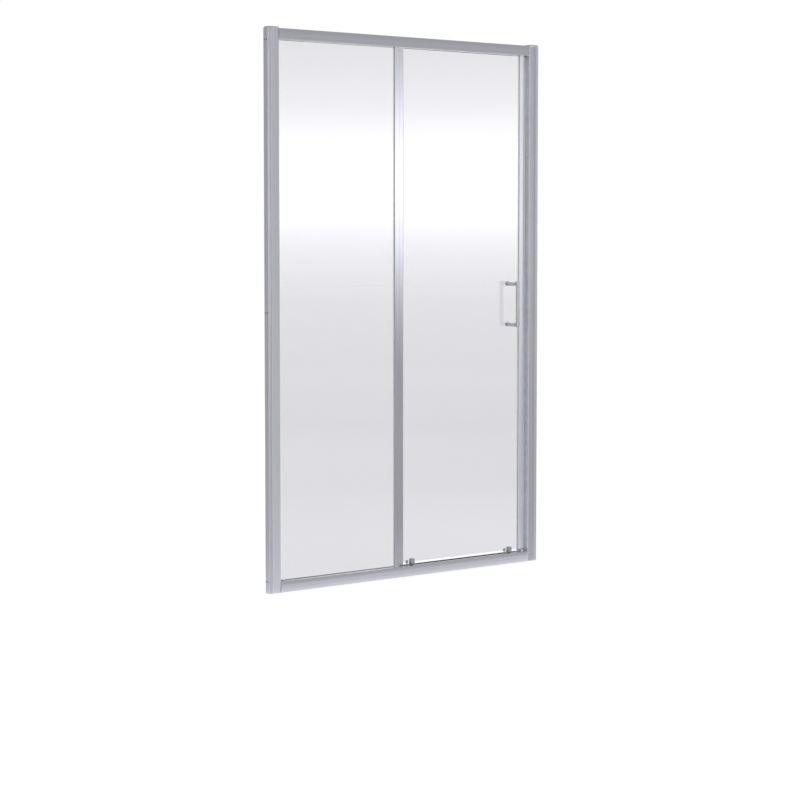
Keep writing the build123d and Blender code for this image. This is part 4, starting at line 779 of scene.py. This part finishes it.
sill_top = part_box("fixed_stile")[0].z
head_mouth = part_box("fixed_stile")[1].z
post_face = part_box("post_gasket")[1].x
stile_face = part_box("fixed_stile")[0].x
door_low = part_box("door_glass")[0].z
door_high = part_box("door_glass")[1].z
bead_foot = sill_top + BEAD_REACH
bead_head = head_mouth - BEAD_REACH
glazing_beads("post_glazing_bead", "post_gasket", post_vinyl, "frame", (post_face, 1),
              bead_foot, bead_head, True)
glazing_beads("fixed_stile_glazing_bead", "fixed_stile_gasket", bead_vinyl, "frame", (stile_face, -1),
              bead_foot, bead_head, True)
glazing_beads("head_glazing_bead", "head_gasket", bead_vinyl, "frame", (head_mouth, -1),
              post_face, stile_face, False)
glazing_beads("sill_glazing_bead", "sill_gasket", bead_vinyl, "frame", (sill_top, 1),
              post_face, stile_face, False)
glazing_beads("closing_stile_glazing_bead", "closing_stile_gasket", bead_vinyl, "door",
              (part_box("closing_stile")[0].x, -1), door_low, door_high, True)
glazing_beads("overlap_stile_glazing_bead", "overlap_stile_gasket", bead_vinyl, "door",
              (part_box("overlap_stile")[1].x, 1), door_low, door_high, True)


# Seals: the magnet strips of the closing jamb and the closing stile, and the fin that wipes along
# the fixed stile. Each is extruded in a milky plastic and slid into its slot.
SEAL_DARK = (0.66, 0.67, 0.68, 1)
SEAL_LIGHT = (0.74, 0.75, 0.76, 1)
SEAL_SUBSURFACE = 0.2

seal_plastic = moulded("seal_plastic", SEAL_DARK, SEAL_LIGHT, VINYL_SMOOTH, VINYL_ROUGH, VINYL_TEXTURE,
                       VINYL_TEXTURE_DEPTH, SEAL_SUBSURFACE)
dress(("door_magnet_seal", "overlap_fin_seal", "jamb_magnet_strip"), seal_plastic)


# Door stops: moulded blocks screwed inside the head rail from the shower side, each with a black
# rubber buffer towards the door.
FITTING_DARK = (0.4, 0.405, 0.425, 1)
FITTING_LIGHT = (0.47, 0.475, 0.495, 1)
RUBBER_DARK = (0.015, 0.015, 0.015, 1)
RUBBER_LIGHT = (0.03, 0.03, 0.03, 1)
RUBBER_SMOOTH = 0.6
RUBBER_ROUGH = 0.8
RUBBER_TEXTURE = 900
RUBBER_TEXTURE_DEPTH = 0.00005
STOP_SCREW_RADIUS = 0.002
STOP_SCREW_LENGTH = 0.0085
STOP_HEAD = 0.0035
STOP_HEAD_HEIGHT = 0.002

fitting_plastic = moulded("fitting_plastic", FITTING_DARK, FITTING_LIGHT, CAP_SMOOTH, CAP_ROUGH,
                          CAP_TEXTURE, CAP_TEXTURE_DEPTH)
stop_rubber = moulded("stop_rubber", RUBBER_DARK, RUBBER_LIGHT, RUBBER_SMOOTH, RUBBER_ROUGH,
                      RUBBER_TEXTURE, RUBBER_TEXTURE_DEPTH)
dress(("door_stop_blocks",), fitting_plastic)
dress(("door_stop_buffers",), stop_rubber)
low, high = corners_of("door_stop_screws", STOP_HEAD)
stop_seats = [(x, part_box("head_rail")[1].y, low.z) for x in (low.x, high.x)]
screw_set("door_stop_cross_screws", "door_stop_screws", "frame", stop_seats, (0, 1, 0),
          STOP_SCREW_RADIUS, STOP_SCREW_LENGTH, STOP_HEAD, STOP_HEAD_HEIGHT)


# Top carriages: folded steel plates with riveted axles and grooved nylon wheels, two to a plate.
# Flanged nylon bushes line the glass holes, and pan-head screws pull each plate to the glass.
NYLON_DARK = (0.72, 0.72, 0.69, 1)
NYLON_LIGHT = (0.8, 0.8, 0.78, 1)
NYLON_SMOOTH = 0.3
NYLON_ROUGH = 0.45
NYLON_TEXTURE = 800
NYLON_TEXTURE_DEPTH = 0.00003
NYLON_SUBSURFACE = 0.15
CLAMP_RADIUS = 0.002
CLAMP_LENGTH = 0.0095
CLAMP_HEAD = 0.0035
CLAMP_HEAD_HEIGHT = 0.0018
WHEEL_PITCH = 0.0234

nylon = moulded("nylon", NYLON_DARK, NYLON_LIGHT, NYLON_SMOOTH, NYLON_ROUGH, NYLON_TEXTURE,
                NYLON_TEXTURE_DEPTH, NYLON_SUBSURFACE)
dress(("left_carriage", "right_carriage", "carriage_axles"), zinc_steel)
dress(("carriage_bushes", "top_wheel_left_rear", "top_wheel_left_lead", "top_wheel_right_rear",
       "top_wheel_right_lead"), nylon)
low, high = corners_of("carriage_clamp_screws", CLAMP_HEAD)
clamp_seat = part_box("carriage_bushes")[0].y
clamp_places = (low.x, low.x + WHEEL_PITCH, high.x - WHEEL_PITCH, high.x)
clamp_seats = [(x, clamp_seat, low.z) for x in clamp_places]
screw_set("carriage_clamp_cross_screws", "carriage_clamp_screws", "door", clamp_seats, (0, -1, 0),
          CLAMP_RADIUS, CLAMP_LENGTH, CLAMP_HEAD, CLAMP_HEAD_HEIGHT)


# Bottom guides: moulded brackets and clamp pads on the door's lower edge, pulled together through
# the glass. A spring plunger with a thumb button carries each nylon guide wheel under the sill's rib.
GUIDE_CLAMP_LENGTH = 0.0125

dress(("stile_end_plugs", "left_guide_bracket", "right_guide_bracket", "guide_clamp_pads",
       "left_release_button", "right_release_button"), fitting_plastic)
dress(("guide_bushes", "left_guide_wheel", "right_guide_wheel"), nylon)
dress(("left_release_plunger", "right_release_plunger", "left_guide_axle", "right_guide_axle"),
      zinc_steel)
low, high = corners_of("guide_clamp_screws", CLAMP_HEAD)
guide_seats = [(x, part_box("left_guide_bracket")[1].y, low.z) for x in (low.x, high.x)]
screw_set("guide_clamp_cross_screws", "guide_clamp_screws", "door", guide_seats, (0, 1, 0),
          CLAMP_RADIUS, GUIDE_CLAMP_LENGTH, CLAMP_HEAD, CLAMP_HEAD_HEIGHT)


# Release springs: a round steel wire coiled round each plunger's stem, between the bracket's foot
# and the button. The coil is built at rest and rides on the door.
SPRING_TURNS = 3
SPRING_RADIUS = 0.002
SPRING_WIRE = 0.00035
SPRING_STEPS = 24
WIRE_SIDES = 12
SPRING_DARK = (0.4, 0.4, 0.41, 1)
SPRING_LIGHT = (0.56, 0.56, 0.57, 1)
SPRING_SMOOTH = 0.2
SPRING_ROUGH = 0.35
SPRING_GRAIN = 1500.0
SPRING_GRAIN_DEPTH = 0.000005

spring_steel = drawn_metal("spring_steel", (1, 1, 1), SPRING_GRAIN, SPRING_DARK, SPRING_LIGHT,
                           SPRING_SMOOTH, SPRING_ROUGH, SPRING_GRAIN_DEPTH)
for side in ("left", "right"):
    low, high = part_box(side + "_release_spring")
    foot = Vector(((low.x + high.x) / 2, (low.y + high.y) / 2, low.z))
    coil = bmesh.new()
    bmesh.ops.create_circle(coil, radius=SPRING_WIRE, segments=WIRE_SIDES)
    bmesh.ops.rotate(coil, verts=coil.verts, matrix=Matrix.Rotation(math.radians(90), 3, "X"))
    bmesh.ops.translate(coil, verts=coil.verts, vec=(SPRING_RADIUS, 0, SPRING_WIRE))
    steps = SPRING_TURNS * SPRING_STEPS
    rise = (high.z - low.z - 2 * SPRING_WIRE) / steps
    bmesh.ops.spin(
        coil, geom=coil.verts[:] + coil.edges[:], cent=(0, 0, 0), axis=(0, 0, 1), dvec=(0, 0, rise),
        angle=2 * math.pi * SPRING_TURNS, steps=steps)
    bmesh.ops.holes_fill(coil, edges=[edge for edge in coil.edges if edge.is_boundary])
    bmesh.ops.translate(coil, verts=coil.verts, vec=foot)
    soften(coil)
    spring = add_piece(coil, side + "_coil_spring", spring_steel, "door",
                       side + "_release_spring")
    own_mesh(spring)


# Handle: a flat brushed bar on two standoffs outside, bolted through the glass to round knobs
# inside. Its finish is brighter and smoother than the frame's.
HANDLE_DARK = (0.48, 0.48, 0.51, 1)
HANDLE_LIGHT = (0.56, 0.56, 0.59, 1)
HANDLE_RUBBED = (0.7, 0.7, 0.73, 1)
HANDLE_EDGE = 0.002
BRUSHED_LINES = 1600.0
BRUSHED_LINE_DEPTH = 0.00001
ALONG_BAR = (1, 1, 0.02)
BAR_SMOOTH = 0.22
BAR_ROUGH = 0.34
ALONG_BOLT = (1, 0.02, 1)
TURNED_SMOOTH = 0.2
TURNED_ROUGH = 0.32

low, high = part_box("handle_bar")
bar_metal = drawn_metal(
    "bar_metal", ALONG_BAR, BRUSHED_LINES, HANDLE_DARK, HANDLE_LIGHT, BAR_SMOOTH, BAR_ROUGH,
    BRUSHED_LINE_DEPTH, (HANDLE_RUBBED, low, high, HANDLE_EDGE))
turned_metal = drawn_metal(
    "turned_metal", ALONG_BOLT, BRUSHED_LINES, HANDLE_DARK, HANDLE_LIGHT, TURNED_SMOOTH, TURNED_ROUGH,
    BRUSHED_LINE_DEPTH)
dress(("handle_bar",), bar_metal)
dress(("handle_standoffs", "handle_knobs"), turned_metal)
dress(("handle_bolts",), zinc_steel)
